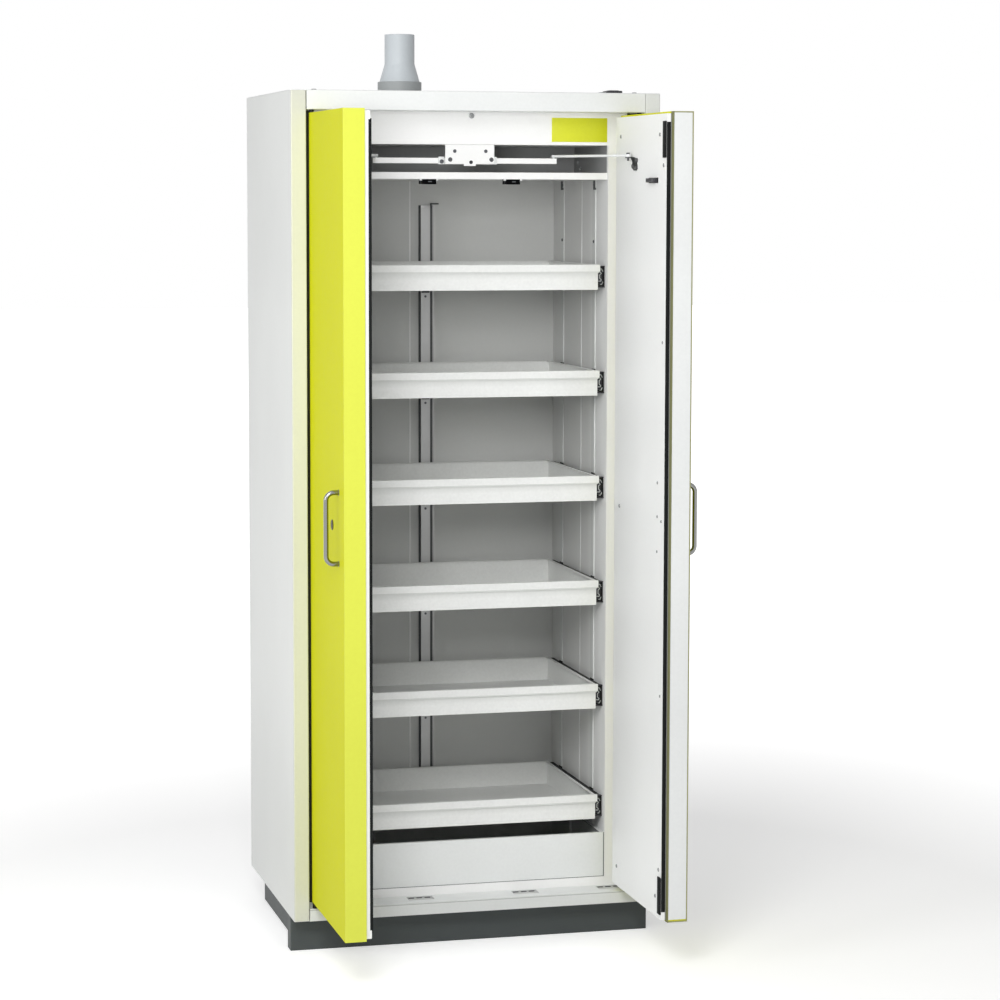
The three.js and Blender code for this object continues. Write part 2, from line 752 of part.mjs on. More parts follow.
function lockHole(side, deepest) {
  const u = freeU - LOCK_FROM_EDGE;
  const hole = roundBar(LOCK_R + LOCK_CLEARANCE, 0, deepest - outerW + OVERRUN, LOCK_SIDES);
  const [x, y] = doorPoint(side, u, outerW - OVERRUN);
  return hole.rotateY((-side * Math.PI) / 2).translate(x, y, handleZ);
}

function doorSkin(side, stripped, locked) {
  const returnU = freeU - (stripped ? STRIP_T + FIT : 0);
  const cavity = doorPrism(
    side, panOutline(SHEET, returnU - SHEET), doorBottomZ + SHEET, doorTopZ - SHEET);
  const window = doorBox(
    side, [-AXIS_INSET + FOLD_W, freeU - FOLD_W], [panW - OVERRUN, panW + OVERRUN],
    [doorBottomZ + FOLD_W, doorTopZ - FOLD_W]);
  const cuts = [cavity, window, rodHole()];
  if (stripped) {
    cuts.push(doorBox(
      side, [returnU, freeU + OVERRUN], [outerW + STRIP_RIM, panW - STRIP_RIM],
      [doorBottomZ + STRIP_RIM, doorTopZ - STRIP_RIM]));
  }
  if (locked) cuts.push(lockHole(side, outerW + SHEET + OVERRUN));
  return combined(doorPrism(side, panOutline(0, freeU), doorBottomZ, doorTopZ), [], cuts);
}

function edgeStrip(side) {
  const rim = STRIP_RIM + FIT;
  return doorBox(
    side, [freeU - STRIP_T, freeU], [outerW + rim, panW - rim], [doorBottomZ + rim, doorTopZ - rim]);
}

const sealSeat = (side) => (side === LEFT ? SEAL_LEFT_SEAT : SEAL_RIGHT_SEAT);

// Insulating board that fills the pan, with the white plug that closes on the frame
function doorLiner(side, stripped, locked) {
  const gap = SHEET + FIT;
  const coreFree = freeU - gap - (stripped ? STRIP_T + FIT : 0);
  const coreStart = ROD_R + ROD_CLEARANCE + gap;
  const core = doorBox(
    side, [coreStart, coreFree], [outerW + gap, panW - gap], [doorBottomZ + gap, doorTopZ - gap]);
  const fold = FOLD_W + FIT;
  const neck = doorBox(
    side, [Math.max(coreStart, fold - AXIS_INSET), freeU - fold], [panW - gap - gap, panW + gap],
    [doorBottomZ + fold, doorTopZ - fold]);
  const [low, high] = [-AXIS_INSET + PLUG_INSET, plugFreeU];
  const plug = doorPrism(side, [
    [low, panW + FIT], [high, panW + FIT], [high, plugW], [low + PLUG_BEVEL, plugW],
    [low, plugW - PLUG_BEVEL],
  ], doorBottomZ + PLUG_INSET, doorTopZ - PLUG_INSET);
  const cuts = [doorBox(
    side, [plugFreeU - SEAL_W, plugFreeU + OVERRUN], [plugW - sealSeat(side), plugW + OVERRUN],
    [doorBottomZ + SEAL_FROM_END, doorTopZ - SEAL_FROM_END])];
  if (locked) cuts.push(lockHole(side, outerW + LOCK_L));
  return combined(core, [neck, plug], cuts);
}

function edgeSeal(side) {
  const [low, high] = [doorBottomZ + SEAL_FROM_END + FIT, doorTopZ - SEAL_FROM_END - FIT];
  const proud = plugW + (side === LEFT ? SEAL_LEFT_PROUD : SEAL_RIGHT_PROUD);
  const strip = doorBox(
    side, [plugFreeU - SEAL_W + FIT, plugFreeU], [plugW - sealSeat(side) + FIT, proud], [low, high]);
  const padU = [plugFreeU - PAD_W, plugFreeU - SEAL_W + SHEET];
  const pads = [[low, low + PAD_L], [high - PAD_L, high]].map((z) =>
    doorBox(side, padU, [plugW + FIT, plugW + PAD_T], z));
  return combined(strip, pads);
}

function handle(side) {
  const half = HANDLE_SPAN / 2;
  const foot = -outerW + FIT;
  const reach = -outerW + HANDLE_REACH;
  const at = (out, z) => new THREE.Vector3(side * out, -(freeU - HANDLE_FROM_EDGE), handleZ + z);
  const bend = (corner, from, to) => new THREE.QuadraticBezierCurve3(from, corner, to);
  const path = new THREE.CurvePath();
  path.add(new THREE.LineCurve3(at(foot, -half), at(reach - HANDLE_BEND, -half)));
  path.add(bend(at(reach, -half), at(reach - HANDLE_BEND, -half), at(reach, -half + HANDLE_BEND)));
  path.add(new THREE.LineCurve3(at(reach, -half + HANDLE_BEND), at(reach, half - HANDLE_BEND)));
  path.add(bend(at(reach, half), at(reach, half - HANDLE_BEND), at(reach - HANDLE_BEND, half)));
  path.add(new THREE.LineCurve3(at(reach - HANDLE_BEND, half), at(foot, half)));
  const ring = new THREE.Shape();
  for (let i = 0; i < HANDLE_SIDES; i += 1) {
    const turn = (2 * Math.PI * i) / HANDLE_SIDES;
    const spot = [HANDLE_R * Math.cos(turn), HANDLE_R * Math.sin(turn)];
    if (i) ring.lineTo(...spot);
    else ring.moveTo(...spot);
  }
  return new THREE.ExtrudeGeometry(ring, { steps: HANDLE_STEPS, extrudePath: path });
}

// Cylinder with a keyway, its head just proud of the door's face, along the door's thickness
function lockCylinder() {
  const profile = [
    [0, -LOCK_HEAD_T], [LOCK_HEAD_R, -LOCK_HEAD_T], [LOCK_HEAD_R, -FIT], [LOCK_R, -FIT],
    [LOCK_R, LOCK_L - FIT], [0, LOCK_L - FIT],
  ];
  const keyway = box(
    span(0, KEYWAY_W), span(0, KEYWAY_L), [-LOCK_HEAD_T - OVERRUN, KEYWAY_D - LOCK_HEAD_T]);
  return combined(turned(profile, LOCK_SIDES), [], [keyway]);
}

// Catch tongue on the inside of a door, its nose towards the hinge
function doorCatch(side) {
  const seat = plugW + FIT;
  const low = freeU - CATCH_FROM_EDGE;
  const high = low + CATCH_L;
  const outline = [
    [low, seat], [high, seat], [high, plugW + CATCH_REACH], [low + CATCH_NOSE, plugW + CATCH_REACH],
    [low, seat + SHEET],
  ];
  return doorPrism(side, outline, ...span(coverZ + CATCH_RISE, CATCH_H));
}

function hingeRod() {
  const foot = sillZ + FIT;
  const top = headerZ - FIT;
  return turned([
    [0, foot], [ROD_BOSS_R, foot], [ROD_BOSS_R, doorBottomZ - FIT], [ROD_R, doorBottomZ - FIT],
    [ROD_R, doorTopZ + FIT], [ROD_BOSS_R, doorTopZ + FIT], [ROD_BOSS_R, top], [0, top],
  ], ROD_SIDES);
}

function addDoor(word, side) {
  const door = new THREE.Group();
  door.position.set(side * axisX, axisY, 0);
  cabinet.add(door);
  const stripped = side === RIGHT;
  const locked = side === LEFT;
  const reach = side === LEFT ? ARM_LEFT_REACH : ARM_RIGHT_REACH;
  piece(`door_skin_${word}`, doorSkin(side, stripped, locked), YELLOW(), door);
  piece(`door_liner_${word}`, doorLiner(side, stripped, locked), WHITE(), door);
  piece(`edge_seal_${word}`, edgeSeal(side), BLACK(), door);
  piece(`handle_${word}`, handle(side), STEEL(), door);
  piece(`door_catch_${word}`, doorCatch(side), BLACK(), door);
  piece(`arm_bracket_${word}`, armBracket(side), STEEL(), door);
  if (stripped) piece(`edge_strip_${word}`, edgeStrip(side), WHITE(), door);
  if (locked) {
    const lock = piece('lock_cylinder', lockCylinder(), STEEL(), door);
    const [x, y] = doorPoint(side, freeU - LOCK_FROM_EDGE, outerW);
    lock.position.set(x, y, handleZ);
    lock.rotation.y = (-side * Math.PI) / 2;
  }
  const across = side * (reach + ARM_PIVOT_DEPTH - axisX);
  const deep = RAIL_Y - axisY + ARM_PIVOT_U;
  const arm = piece(`closer_arm_${word}`, closerArm(Math.hypot(across, deep)), WHITE(), door);
  const [x, y] = doorPoint(side, ARM_PIVOT_U, ARM_PIVOT_DEPTH);
  arm.position.set(x, y, armZ);
  arm.rotation.z = Math.atan2(deep, across);
  const rod = piece(`hinge_rod_${word}`, hingeRod(), DARK_STEEL());
  rod.position.set(side * axisX, axisY, 0);
}

// Assembly

for (const [word, side] of SIDES) {
  piece(`side_panel_${word}`, sidePanel(side), WHITE());
  piece(`side_board_${word}`, sideBoard(side), BOARD());
  piece(`slide_rack_${word}`, slideRack(side), DARK_STEEL());
  addDoor(word, side);
}
piece('roof_panel', roofPanel(), WHITE());
piece('rear_panel', rearPanel(), WHITE());
piece('floor_panel', planPanel(bottomZ, bottomZ + SHEET), WHITE());
piece('sill_panel', sillPanel(), WHITE());
piece('front_frame', frontFrame(), WHITE());
piece('roof_board', roofBoard(), BOARD());
piece('floor_board', floorBoard(), BOARD());
piece('rear_board', rearBoard(), BOARD());
piece('base_frame', baseFrame(), DARK());
piece('plinth_panel', plinthPanel(), DARK());
piece('vent_socket', ventSocket(), GREY_PLASTIC());
piece('vent_reducer', ventReducer(), GREY_PLASTIC());
piece('roof_cap', roofCap(), BLACK());
piece('ceiling_cover', ceilingCover(), WHITE());
piece('air_duct', airDuct(), STEEL());
piece('sump_tray', sumpTray(), WHITE());
piece('closer_plate', closerPlate(), WHITE());
piece('closer_rail', closerRail(), WHITE());

drawerBottoms.forEach((bottom, i) => {
  const number = i + 1;
  piece(`drawer_${number}`, drawer(), WHITE()).position.z = bottom;
  for (const [word, side] of SIDES) {
    piece(`slide_${number}_${word}`, middleMember(side), DARK_STEEL()).position.z = bottom;
  }
});

// The origin is under the middle of the cabinet with its doors open, on the floor
cabinet.position.y = -(BODY_D + axisY - freeU) / 2;

export default cabinet;
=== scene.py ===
"""Looks of a fireproof safety cabinet with wing doors, drawers on slides and a door closer.

Metres, +Z up, the front towards -Y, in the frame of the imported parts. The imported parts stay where
they are and get procedural finishes. Round and moulded parts get a finer mesh in their place, and
screws, plates, seals and slide cages are added on what carries them.
"""

import functools
import json
import logging
import math
import operator
from collections.abc import Callable, Sequence
from dataclasses import dataclass, field
from enum import Enum
from typing import Any

import bmesh
import bpy
from mathutils import Matrix, Vector


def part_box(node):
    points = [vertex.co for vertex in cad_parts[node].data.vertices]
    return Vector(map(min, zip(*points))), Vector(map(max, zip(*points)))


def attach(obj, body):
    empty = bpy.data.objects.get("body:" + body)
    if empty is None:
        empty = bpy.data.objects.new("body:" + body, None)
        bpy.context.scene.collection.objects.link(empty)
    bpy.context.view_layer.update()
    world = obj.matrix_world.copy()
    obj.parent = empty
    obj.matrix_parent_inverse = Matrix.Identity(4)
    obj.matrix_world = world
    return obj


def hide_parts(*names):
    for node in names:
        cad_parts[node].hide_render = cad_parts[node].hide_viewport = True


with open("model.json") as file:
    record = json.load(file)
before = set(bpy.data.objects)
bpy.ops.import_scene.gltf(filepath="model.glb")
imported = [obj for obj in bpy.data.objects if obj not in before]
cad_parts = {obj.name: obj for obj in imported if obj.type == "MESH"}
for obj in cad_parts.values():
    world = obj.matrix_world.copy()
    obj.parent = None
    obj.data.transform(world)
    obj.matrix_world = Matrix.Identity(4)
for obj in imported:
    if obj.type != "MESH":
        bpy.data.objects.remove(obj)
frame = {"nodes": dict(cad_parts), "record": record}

log = logging.getLogger("cabinet")

MM = 0.001
Vec = tuple[float, float, float]
Pair = tuple[float, float]
X_AXIS: Vec = (1.0, 0.0, 0.0)
Y_AXIS: Vec = (0.0, 1.0, 0.0)
Z_AXIS: Vec = (0.0, 0.0, 1.0)
FORWARD: Vec = (0.0, -1.0, 0.0)
WHITE_LIGHT = (1.0, 1.0, 1.0, 1.0)
EVEN: Vec = (1.0, 1.0, 1.0)
DRAWN_OUT: Vec = (1.0, 1.0, 0.02)
NOISE_SPAN: Pair = (0.3, 0.7)
SEEN_RAYS = ("Is Camera Ray", "Is Glossy Ray", "Is Transmission Ray")
HAIR = 0.05 * MM
SMOOTH_UNDER = math.radians(35.0)
DRAWERS = 6


# Node trees


class Socket:
    """A number or colour in a node tree, whose arithmetic adds Math nodes."""

    def __init__(self, shading: "Shading", out: bpy.types.NodeSocket) -> None:
        """Keep the node tree and the output socket that this value comes from."""
        self.shading = shading
        self.out = out

    def maths(self, operation: str, *values: "Socket | float") -> "Socket":
        """Add one Math node with these inputs and return its result."""
        inputs = dict(enumerate(values))
        return self.shading.node("ShaderNodeMath", {"operation": operation}, inputs)

    def __add__(self, other: "Socket | float") -> "Socket":
        """Sum of two values."""
        return self.maths("ADD", self, other)

    def __radd__(self, other: float) -> "Socket":
        """Sum of a number and this value."""
        return self.maths("ADD", other, self)

    def __sub__(self, other: "Socket | float") -> "Socket":
        """This value less another."""
        return self.maths("SUBTRACT", self, other)

    def __rsub__(self, other: float) -> "Socket":
        """A number less this value."""
        return self.maths("SUBTRACT", other, self)

    def __mul__(self, other: "Socket | float") -> "Socket":
        """Product of two values."""
        return self.maths("MULTIPLY", self, other)

    def __rmul__(self, other: float) -> "Socket":
        """Product of a number and this value."""
        return self.maths("MULTIPLY", other, self)

    def __abs__(self) -> "Socket":
        """This value without its sign."""
        return self.maths("ABSOLUTE", self)

    def __gt__(self, other: "Socket | float") -> "Socket":
        """One where this value is above another, otherwise nought."""
        return self.maths("GREATER_THAN", self, other)

    def __lt__(self, other: "Socket | float") -> "Socket":
        """One where this value is below another, otherwise nought."""
        return self.maths("LESS_THAN", self, other)

    def ramp(self, low: float, high: float, start: float, end: float) -> "Socket":
        """Spread this value from low and high to start and end, clamped at both."""
        inputs = {"Value": self, "From Min": low, "From Max": high, "To Min": start, "To Max": end}
        return self.shading.node("ShaderNodeMapRange", {"clamp": True}, inputs)


Mask = Callable[[Socket, Socket, Socket], Socket]


@dataclass(frozen=True)
class Colour:
    """A colour as its three sRGB numbers from 0 to 255."""

    red: int
    green: int
    blue: int

    def linear(self) -> tuple[float, float, float, float]:
        """The colour as a node's sockets take it.

        Returns:
            Its linear red, green and blue, and full opacity.
        """
        shares = (self.red / 255, self.green / 255, self.blue / 255)
        curve = [s / 12.92 if s <= 0.04045 else ((s + 0.055) / 1.055) ** 2.4 for s in shares]
        return (curve[0], curve[1], curve[2], 1.0)

    def shaded(self, share: float) -> "Colour":
        """The colour with its three numbers times a share."""
        numbers = [min(255, round(part * share)) for part in (self.red, self.green, self.blue)]
        return Colour(*numbers)


class Shading:
    """The node tree of a material or of the world."""

    def __init__(self, owner: bpy.types.Material | bpy.types.World) -> None:
        """Start an empty node tree.

        Args:
            owner: The new material or world.
        """
        self.owner = owner
        owner.use_nodes = True
        self.tree = owner.node_tree
        self.tree.nodes.clear()

    @classmethod
    def named(cls, name: str) -> "Shading":
        """The empty tree of a new material."""
        return cls(bpy.data.materials.new(name))

    def node(
        self,
        kind: str,
        settings: dict[str, Any] | None = None,
        inputs: dict[str | int, Any] | None = None,
        output: str | int = 0,
    ) -> Socket:
        """Add one node, set it up and link its inputs.

        Args:
            kind: The node type's name.
            settings: The node's own properties, set first.
            inputs: Values or Sockets by input name or number.
            output: The output to return.

        Returns:
            The chosen output.
        """
        made = self.tree.nodes.new(kind)
        for name, value in (settings or {}).items():
            setattr(made, name, value)
        for name, value in (inputs or {}).items():
            if isinstance(value, Socket):
                self.tree.links.new(value.out, made.inputs[name])
            else:
                made.inputs[name].default_value = value
        if not made.outputs:
            return Socket(self, made.inputs[0])
        return Socket(self, made.outputs[output])

    def place(self) -> Socket:
        """Where the shaded point is on the object at rest."""
        return self.node("ShaderNodeTexCoord", output="Object")

    def axes(self) -> tuple[Socket, Socket, Socket]:
        """The shaded point's place on the object at rest.

        Returns:
            Its x, y and z.
        """
        split = self.node("ShaderNodeSeparateXYZ", inputs={0: self.place()})
        outs = split.out.node.outputs
        return Socket(self, outs[0]), Socket(self, outs[1]), Socket(self, outs[2])

    def noise(self, per_metre: float, stretch: Vec = EVEN, detail: float = 2.0) -> Socket:
        """Soft noise over the object.

        Args:
            per_metre: How many swells there are in a metre.
            stretch: How much closer the swells lie along each axis.
            detail: How many finer layers the noise has.

        Returns:
            A value around one half.
        """
        scaled = self.node(
            "ShaderNodeVectorMath", {"operation": "MULTIPLY"}, {0: self.place(), 1: stretch})
        inputs = {"Vector": scaled, "Scale": per_metre, "Detail": detail}
        return self.node("ShaderNodeTexNoise", inputs=inputs)

    def blend(self, share: Socket | float, first: Any, second: Any) -> Socket:
        """Mix two colours, where share says how much of the second there is."""
        inputs = {0: share, 6: first, 7: second}
        return self.node("ShaderNodeMix", {"data_type": "RGBA"}, inputs, 2)

    def relief(self, height: Socket, strength: float, depth: float) -> Socket:
        """Turn a height, which is depth metres in all, into a bumped normal."""
        inputs = {"Height": height, "Strength": strength, "Distance": depth}
        return self.node("ShaderNodeBump", inputs=inputs)

    def seen(self) -> Socket:
        """One where the camera sees a point, also mirrored or through clear parts, else nought.

        Returns:
            The mask.
        """
        path = self.node("ShaderNodeLightPath").out.node.outputs
        kinds = [Socket(self, path[ray]) for ray in SEEN_RAYS]
        return functools.reduce(lambda first, second: first.maths("MAXIMUM", first, second), kinds)

    def close(self, shader: Socket) -> bpy.types.Material:
        """Send a shader to the material's output and return the material."""
        self.node("ShaderNodeOutputMaterial", inputs={"Surface": shader})
        return self.owner


class Grain(Enum):
    """The fine relief of a surface: swells in a metre, finer layers, depth and strength."""

    PEEL = (650.0, 1.0, 0.06 * MM, 0.5)
    MOULDED = (1500.0, 2.0, 0.04 * MM, 0.5)
    RUBBER = (900.0, 4.0, 0.12 * MM, 0.7)
    DRAWN = (900.0, 2.0, 0.03 * MM, 0.4)
    SPANGLE = (90.0, 0.0, 0.08 * MM, 0.5)


class Look:
    """What a plain finish and a pair of finishes have in common."""

    name: str
    slot: str

    def surface(self, shading: Shading) -> Socket:
        """Add this look's shader to a node tree."""
        raise NotImplementedError

    def material(self) -> bpy.types.Material:
        """This look as a material, made once.

        Returns:
            The material.
        """
        found = bpy.data.materials.get(self.name)
        if found:
            return found
        shading = Shading.named(self.name)
        return shading.close(self.surface(shading))


# How the colour and the gloss of every finish drift


BROAD_SWELLS, FINE_SWELLS = 2.2, 140.0
BROAD_SHARE, FINE_SHARE = 0.7, 0.3
RELIEF_SHARE = 0.5
GLOSS_SPAN: Pair = (0.4, 1.1)
GLOSS_DRIFT: Pair = (0.88, 1.1)


@dataclass(frozen=True)
class Finish(Look):
    """One plain finish: its colour, gloss and fine relief.

    Attributes:
        name: The finish's name.
        colour: Its main colour.
        roughness: From 0, a mirror, to 1, chalk.
        grain: Its fine relief.
        slot: The record's material slot.
        metallic: 1 for bare metal.
        drift: How far the colour drifts over the surface, as a share.
        gloss: How strongly a surface that isn't metal mirrors at a slant.
    """

    name: str
    colour: Colour
    roughness: float
    grain: Grain
    slot: str
    metallic: float = 0.0
    drift: float = 0.03
    gloss: float = 0.4

    def surface(self, shading: Shading) -> Socket:
        """Add this finish's shader to a node tree.

        Args:
            shading: The material's node tree.

        Returns:
            The shader.
        """
        height, depth, strength = self.relief(shading)
        broad, fine = shading.noise(BROAD_SWELLS, detail=3.0), shading.noise(FINE_SWELLS)
        share = (broad * BROAD_SHARE + fine * FINE_SHARE).ramp(*NOISE_SPAN, 0.0, 1.0)
        dark, light = self.colour.shaded(1.0 - self.drift), self.colour.shaded(1.0 + self.drift / 3)
        smooth, rough = (self.roughness * drift for drift in GLOSS_DRIFT)
        inputs = {
            "Base Color": shading.blend(share, dark.linear(), light.linear()),
            "Roughness": (fine + height * RELIEF_SHARE).ramp(*GLOSS_SPAN, smooth, rough),
            "Metallic": self.metallic,
            "Specular IOR Level": self.gloss,
            "Normal": shading.relief(height, strength, depth),
        }
        return shading.node("ShaderNodeBsdfPrincipled", inputs=inputs)

    def relief(self, shading: Shading) -> tuple[Socket, float, float]:
        """The height of the fine relief.

        Args:
            shading: The material's node tree.

        Returns:
            The height, its real depth in metres and how strongly it shows.
        """
        per_metre, detail, depth, strength = self.grain.value
        if self.grain is Grain.SPANGLE:
            inputs = {"Vector": shading.place(), "Scale": per_metre}
            cells = shading.node("ShaderNodeTexVoronoi", inputs=inputs, output="Color")
            return shading.node("ShaderNodeSeparateXYZ", inputs={0: cells}), depth, strength
        stretch = DRAWN_OUT if self.grain is Grain.DRAWN else EVEN
        return shading.noise(per_metre, stretch, detail), depth, strength


@dataclass(frozen=True)
class TwoTone(Look):
    """Two finishes on one part, parted by its places.

    Attributes:
        name: The pair's name.
        main: The finish of most of the part.
        other: The finish where the mask is one.
        mask: Makes the mask from the point's x, y and z.
    """

    name: str
    main: Look
    other: Look
    mask: Mask

    @property
    def slot(self) -> str:
        """The record's material slot of the main finish."""
        return self.main.slot

    def surface(self, shading: Shading) -> Socket:
        """Add both finishes and their mask to a node tree.

        Args:
            shading: The material's node tree.

        Returns:
            The mixed shader.
        """
        share = self.mask(*shading.axes())
        inputs = {0: share, 1: self.main.surface(shading), 2: self.other.surface(shading)}
        return shading.node("ShaderNodeMixShader", inputs=inputs)


WHITE = Finish("white_powder_coat", Colour(238, 240, 239), 0.42, Grain.PEEL, "white_steel")
# Painted light: a lighter white for the door frame, the recessed ceiling cover and the closer's plate and
# rail.
FRAME_WHITE_PAINTED_LIGHT = Finish("frame_powder_coat", Colour(252, 252, 251), 0.42, Grain.PEEL, "white_steel", drift=0.02)
# Painted light: a lighter white for the recessed drawers, with a mottled tone drifting over it.
DRAWER_WHITE_PAINTED_LIGHT = Finish(
    "drawer_powder_coat", Colour(244, 245, 243), 0.4, Grain.PEEL, "drawer_steel", drift=0.05)
# Painted shade: grey under the drawers' lips, fading downwards.
FOLD_PAINTED_SHADE = Finish("drawer_fold", Colour(222, 224, 221), 0.5, Grain.PEEL, "drawer_steel")
SIDE_WHITE = Finish("side_powder_coat", Colour(231, 233, 231), 0.42, Grain.PEEL, "white_steel")
# Painted shade: a darker white for the left panel's front strip beside the open door.
STRIP_PAINTED_SHADE = Finish("strip_powder_coat", Colour(213, 214, 203), 0.42, Grain.PEEL, "white_steel")
# Painted shade: the dark seen in the hinge gaps beside the doors.
HINGE_GAP_PAINTED_SHADE = Finish("seam_dark", Colour(58, 58, 46), 0.6, Grain.PEEL, "white_steel", gloss=0.1)
BOARD_WHITE = Finish("white_board", Colour(249, 250, 249), 0.5, Grain.MOULDED, "board", drift=0.02)
# Painted shade: the grey of the exhaust box above the cover.
PLENUM_PAINTED_SHADE = Finish("exhaust_box_grey", Colour(170, 171, 171), 0.5, Grain.PEEL, "duct_metal", gloss=0.2)
# Painted shade: the side linings' darker white towards the back.
SIDE_LINING_PAINTED_SHADE = Finish("side_lining", Colour(224, 225, 223), 0.5, Grain.MOULDED, "board", drift=0.02)
# Painted shade: the rear lining's darker white.
REAR_LINING_PAINTED_SHADE = Finish("rear_lining", Colour(220, 221, 219), 0.5, Grain.MOULDED, "board", drift=0.02)
# Painted shade: grey for the side linings above the cover.
BOARD_SHADE = Finish("grey_board", Colour(152, 153, 153), 0.6, Grain.MOULDED, "board", gloss=0.2)
# Painted shade: grey for the right door liner's front edge.
BOARD_EDGE_PAINTED_SHADE = Finish("board_edge", Colour(138, 139, 135), 0.6, Grain.MOULDED, "board", gloss=0.2)
# Painted shade: a grey line along the sill's bend under its ledge.
SILL_BEND_PAINTED_SHADE = Finish("sill_bend", Colour(186, 188, 186), 0.45, Grain.PEEL, "white_steel")
# White of the uprights. On the sill's front the same colour is painted shade.
UPRIGHT_WHITE_AND_SILL_SHADE = Finish("upright_coat", Colour(222, 224, 222), 0.42, Grain.PEEL, "white_steel")
# Painted light: a lighter white on the uprights' narrow faces.
UPRIGHT_EDGE_PAINTED_LIGHT = Finish("upright_edge", Colour(238, 240, 238), 0.5, Grain.PEEL, "white_steel", gloss=0.2)
YELLOW = Finish(
    "yellow_powder_coat", Colour(217, 219, 23), 0.5, Grain.PEEL, "yellow_steel", drift=0.02, gloss=0.06)
# Painted light: a paler yellow for the left door's front edge face.
YELLOW_FRONT_PAINTED_LIGHT = Finish(
    "yellow_front_edge", Colour(220, 226, 82), 0.45, Grain.PEEL, "yellow_steel", drift=0.02, gloss=0.2)
PLINTH_GREY = Finish("plinth_powder_coat", Colour(68, 73, 73), 0.55, Grain.PEEL, "plinth_steel")
COLLAR_GREY = Finish("collar_plastic", Colour(160, 164, 165), 0.5, Grain.MOULDED, "vent_plastic")
PIPE_GREY = Finish("pipe_plastic", Colour(200, 206, 210), 0.42, Grain.MOULDED, "vent_plastic")
# Black plastic, also used as painted shade for the duct's slots, the lock's keyway, the closer's sight hole
# and the pockets' left walls.
BLACK_PLASTIC_AND_SHADE = Finish(
    "black_plastic", Colour(27, 28, 30), 0.5, Grain.MOULDED, "black_plastic", gloss=0.15)
CATCH_BLACK = Finish("catch_black", Colour(15, 15, 16), 0.7, Grain.MOULDED, "black_plastic", gloss=0.0)
SEAL_BLACK = Finish("seal_rubber", Colour(31, 33, 33), 0.8, Grain.RUBBER, "seal", gloss=0.1)
CHROME = Finish("polished_steel", Colour(138, 139, 137), 0.16, Grain.DRAWN, "chrome", metallic=1.0)
DARK_PLATED = Finish("dark_plated_steel", Colour(74, 76, 76), 0.35, Grain.DRAWN, "chrome", metallic=0.6)
LOCK_STEEL = Finish("lock_steel", Colour(88, 86, 62), 0.3, Grain.DRAWN, "chrome", metallic=0.9)
ZINC = Finish("zinc_plate", Colour(200, 200, 200), 0.42, Grain.SPANGLE, "duct_metal", metallic=0.5)
# Painted shade: the darker zinc on the air duct's flanks.
ZINC_PAINTED_SHADE = Finish("zinc_shaded", Colour(84, 85, 86), 0.45, Grain.SPANGLE, "duct_metal", metallic=0.6)
SLIDE_BLACK = Finish("slide_black", Colour(24, 25, 24), 0.45, Grain.DRAWN, "dark_steel", gloss=0.15)
SLIDE_EDGE = Finish("slide_edge", Colour(196, 200, 196), 0.4, Grain.DRAWN, "dark_steel", metallic=0.2)
# Grey of the hooks, the joints and the rivets, also used as painted shade in the sump's gap.
HOOK_GREY_AND_GAP_SHADE = Finish("hook_grey", Colour(98, 99, 100), 0.5, Grain.DRAWN, "dark_steel", gloss=0.2)
DARK_SCREW = Finish("dark_screw", Colour(92, 94, 97), 0.35, Grain.DRAWN, "dark_steel", metallic=0.9)
# Painted shade: olive for the right door's yellow front edge.
EDGE_OLIVE_PAINTED_SHADE = Finish(
    "yellow_edge", Colour(160, 160, 118), 0.5, Grain.PEEL, "yellow_steel", drift=0.06, gloss=0.15)
# Painted shade: a darker olive for the yellow rim beside the strip and the liner's outer edge.
RIM_OLIVE_PAINTED_SHADE = Finish(
    "yellow_rim", Colour(130, 131, 94), 0.6, Grain.PEEL, "yellow_steel", drift=0.06, gloss=0.1)
# The yellow of the skin's bottom fold, darkened as painted shade.
BOTTOM_YELLOW_AND_SHADE = Finish(
    "yellow_bottom", Colour(204, 205, 48), 0.5, Grain.PEEL, "white_steel", drift=0.06, gloss=0.15)
# Painted shade: the dark grey inside the sump tray.
SUMP_INSIDE_PAINTED_SHADE = Finish("sump_inside", Colour(96, 98, 98), 0.6, Grain.PEEL, "white_steel")
CUP_GREY = Finish("cup_grey", Colour(206, 207, 206), 0.45, Grain.PEEL, "dark_steel")
PALE_SCREW = Finish("pale_screw", Colour(158, 160, 160), 0.35, Grain.DRAWN, "dark_steel", metallic=0.6)
PLATE_YELLOW = Finish("plate_yellow", Colour(220, 224, 44), 0.4, Grain.MOULDED, "yellow_steel")


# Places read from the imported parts


@dataclass(frozen=True)
class Span:
    """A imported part's box at rest.

    Attributes:
        low: Its lowest corner.
        high: Its highest corner.
    """

    low: Vector
    high: Vector

    @classmethod
    def of(cls, node: str) -> "Span":
        """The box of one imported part."""
        low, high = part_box(node)
        return cls(Vector(low), Vector(high))

    @property
    def middle(self) -> Vector:
        """The box's centre."""
        return (self.low + self.high) / 2

    @property
    def size(self) -> Vector:
        """The box's width, depth and height."""
        return self.high - self.low

    @property
    def inner(self) -> float:
        """How far its nearer side is from the cabinet's middle."""
        return min(abs(self.low.x), abs(self.high.x))

    @property
    def outer(self) -> float:
        """How far its farther side is from the cabinet's middle."""
        return max(abs(self.low.x), abs(self.high.x))


class Side(Enum):
    """The left or the right half of the cabinet, seen from the front."""

    LEFT = -1
    RIGHT = 1

    @property
    def word(self) -> str:
        """The side's name as the parts have it."""
        return self.name.lower()

    @property
    def inward(self) -> Vec:
        """The direction from this side to the cabinet's middle."""
        return (-float(self.value), 0.0, 0.0)


def opening_top() -> float:
    """Height of the opening's upper edge."""
    return Span.of("roof_board").low.z


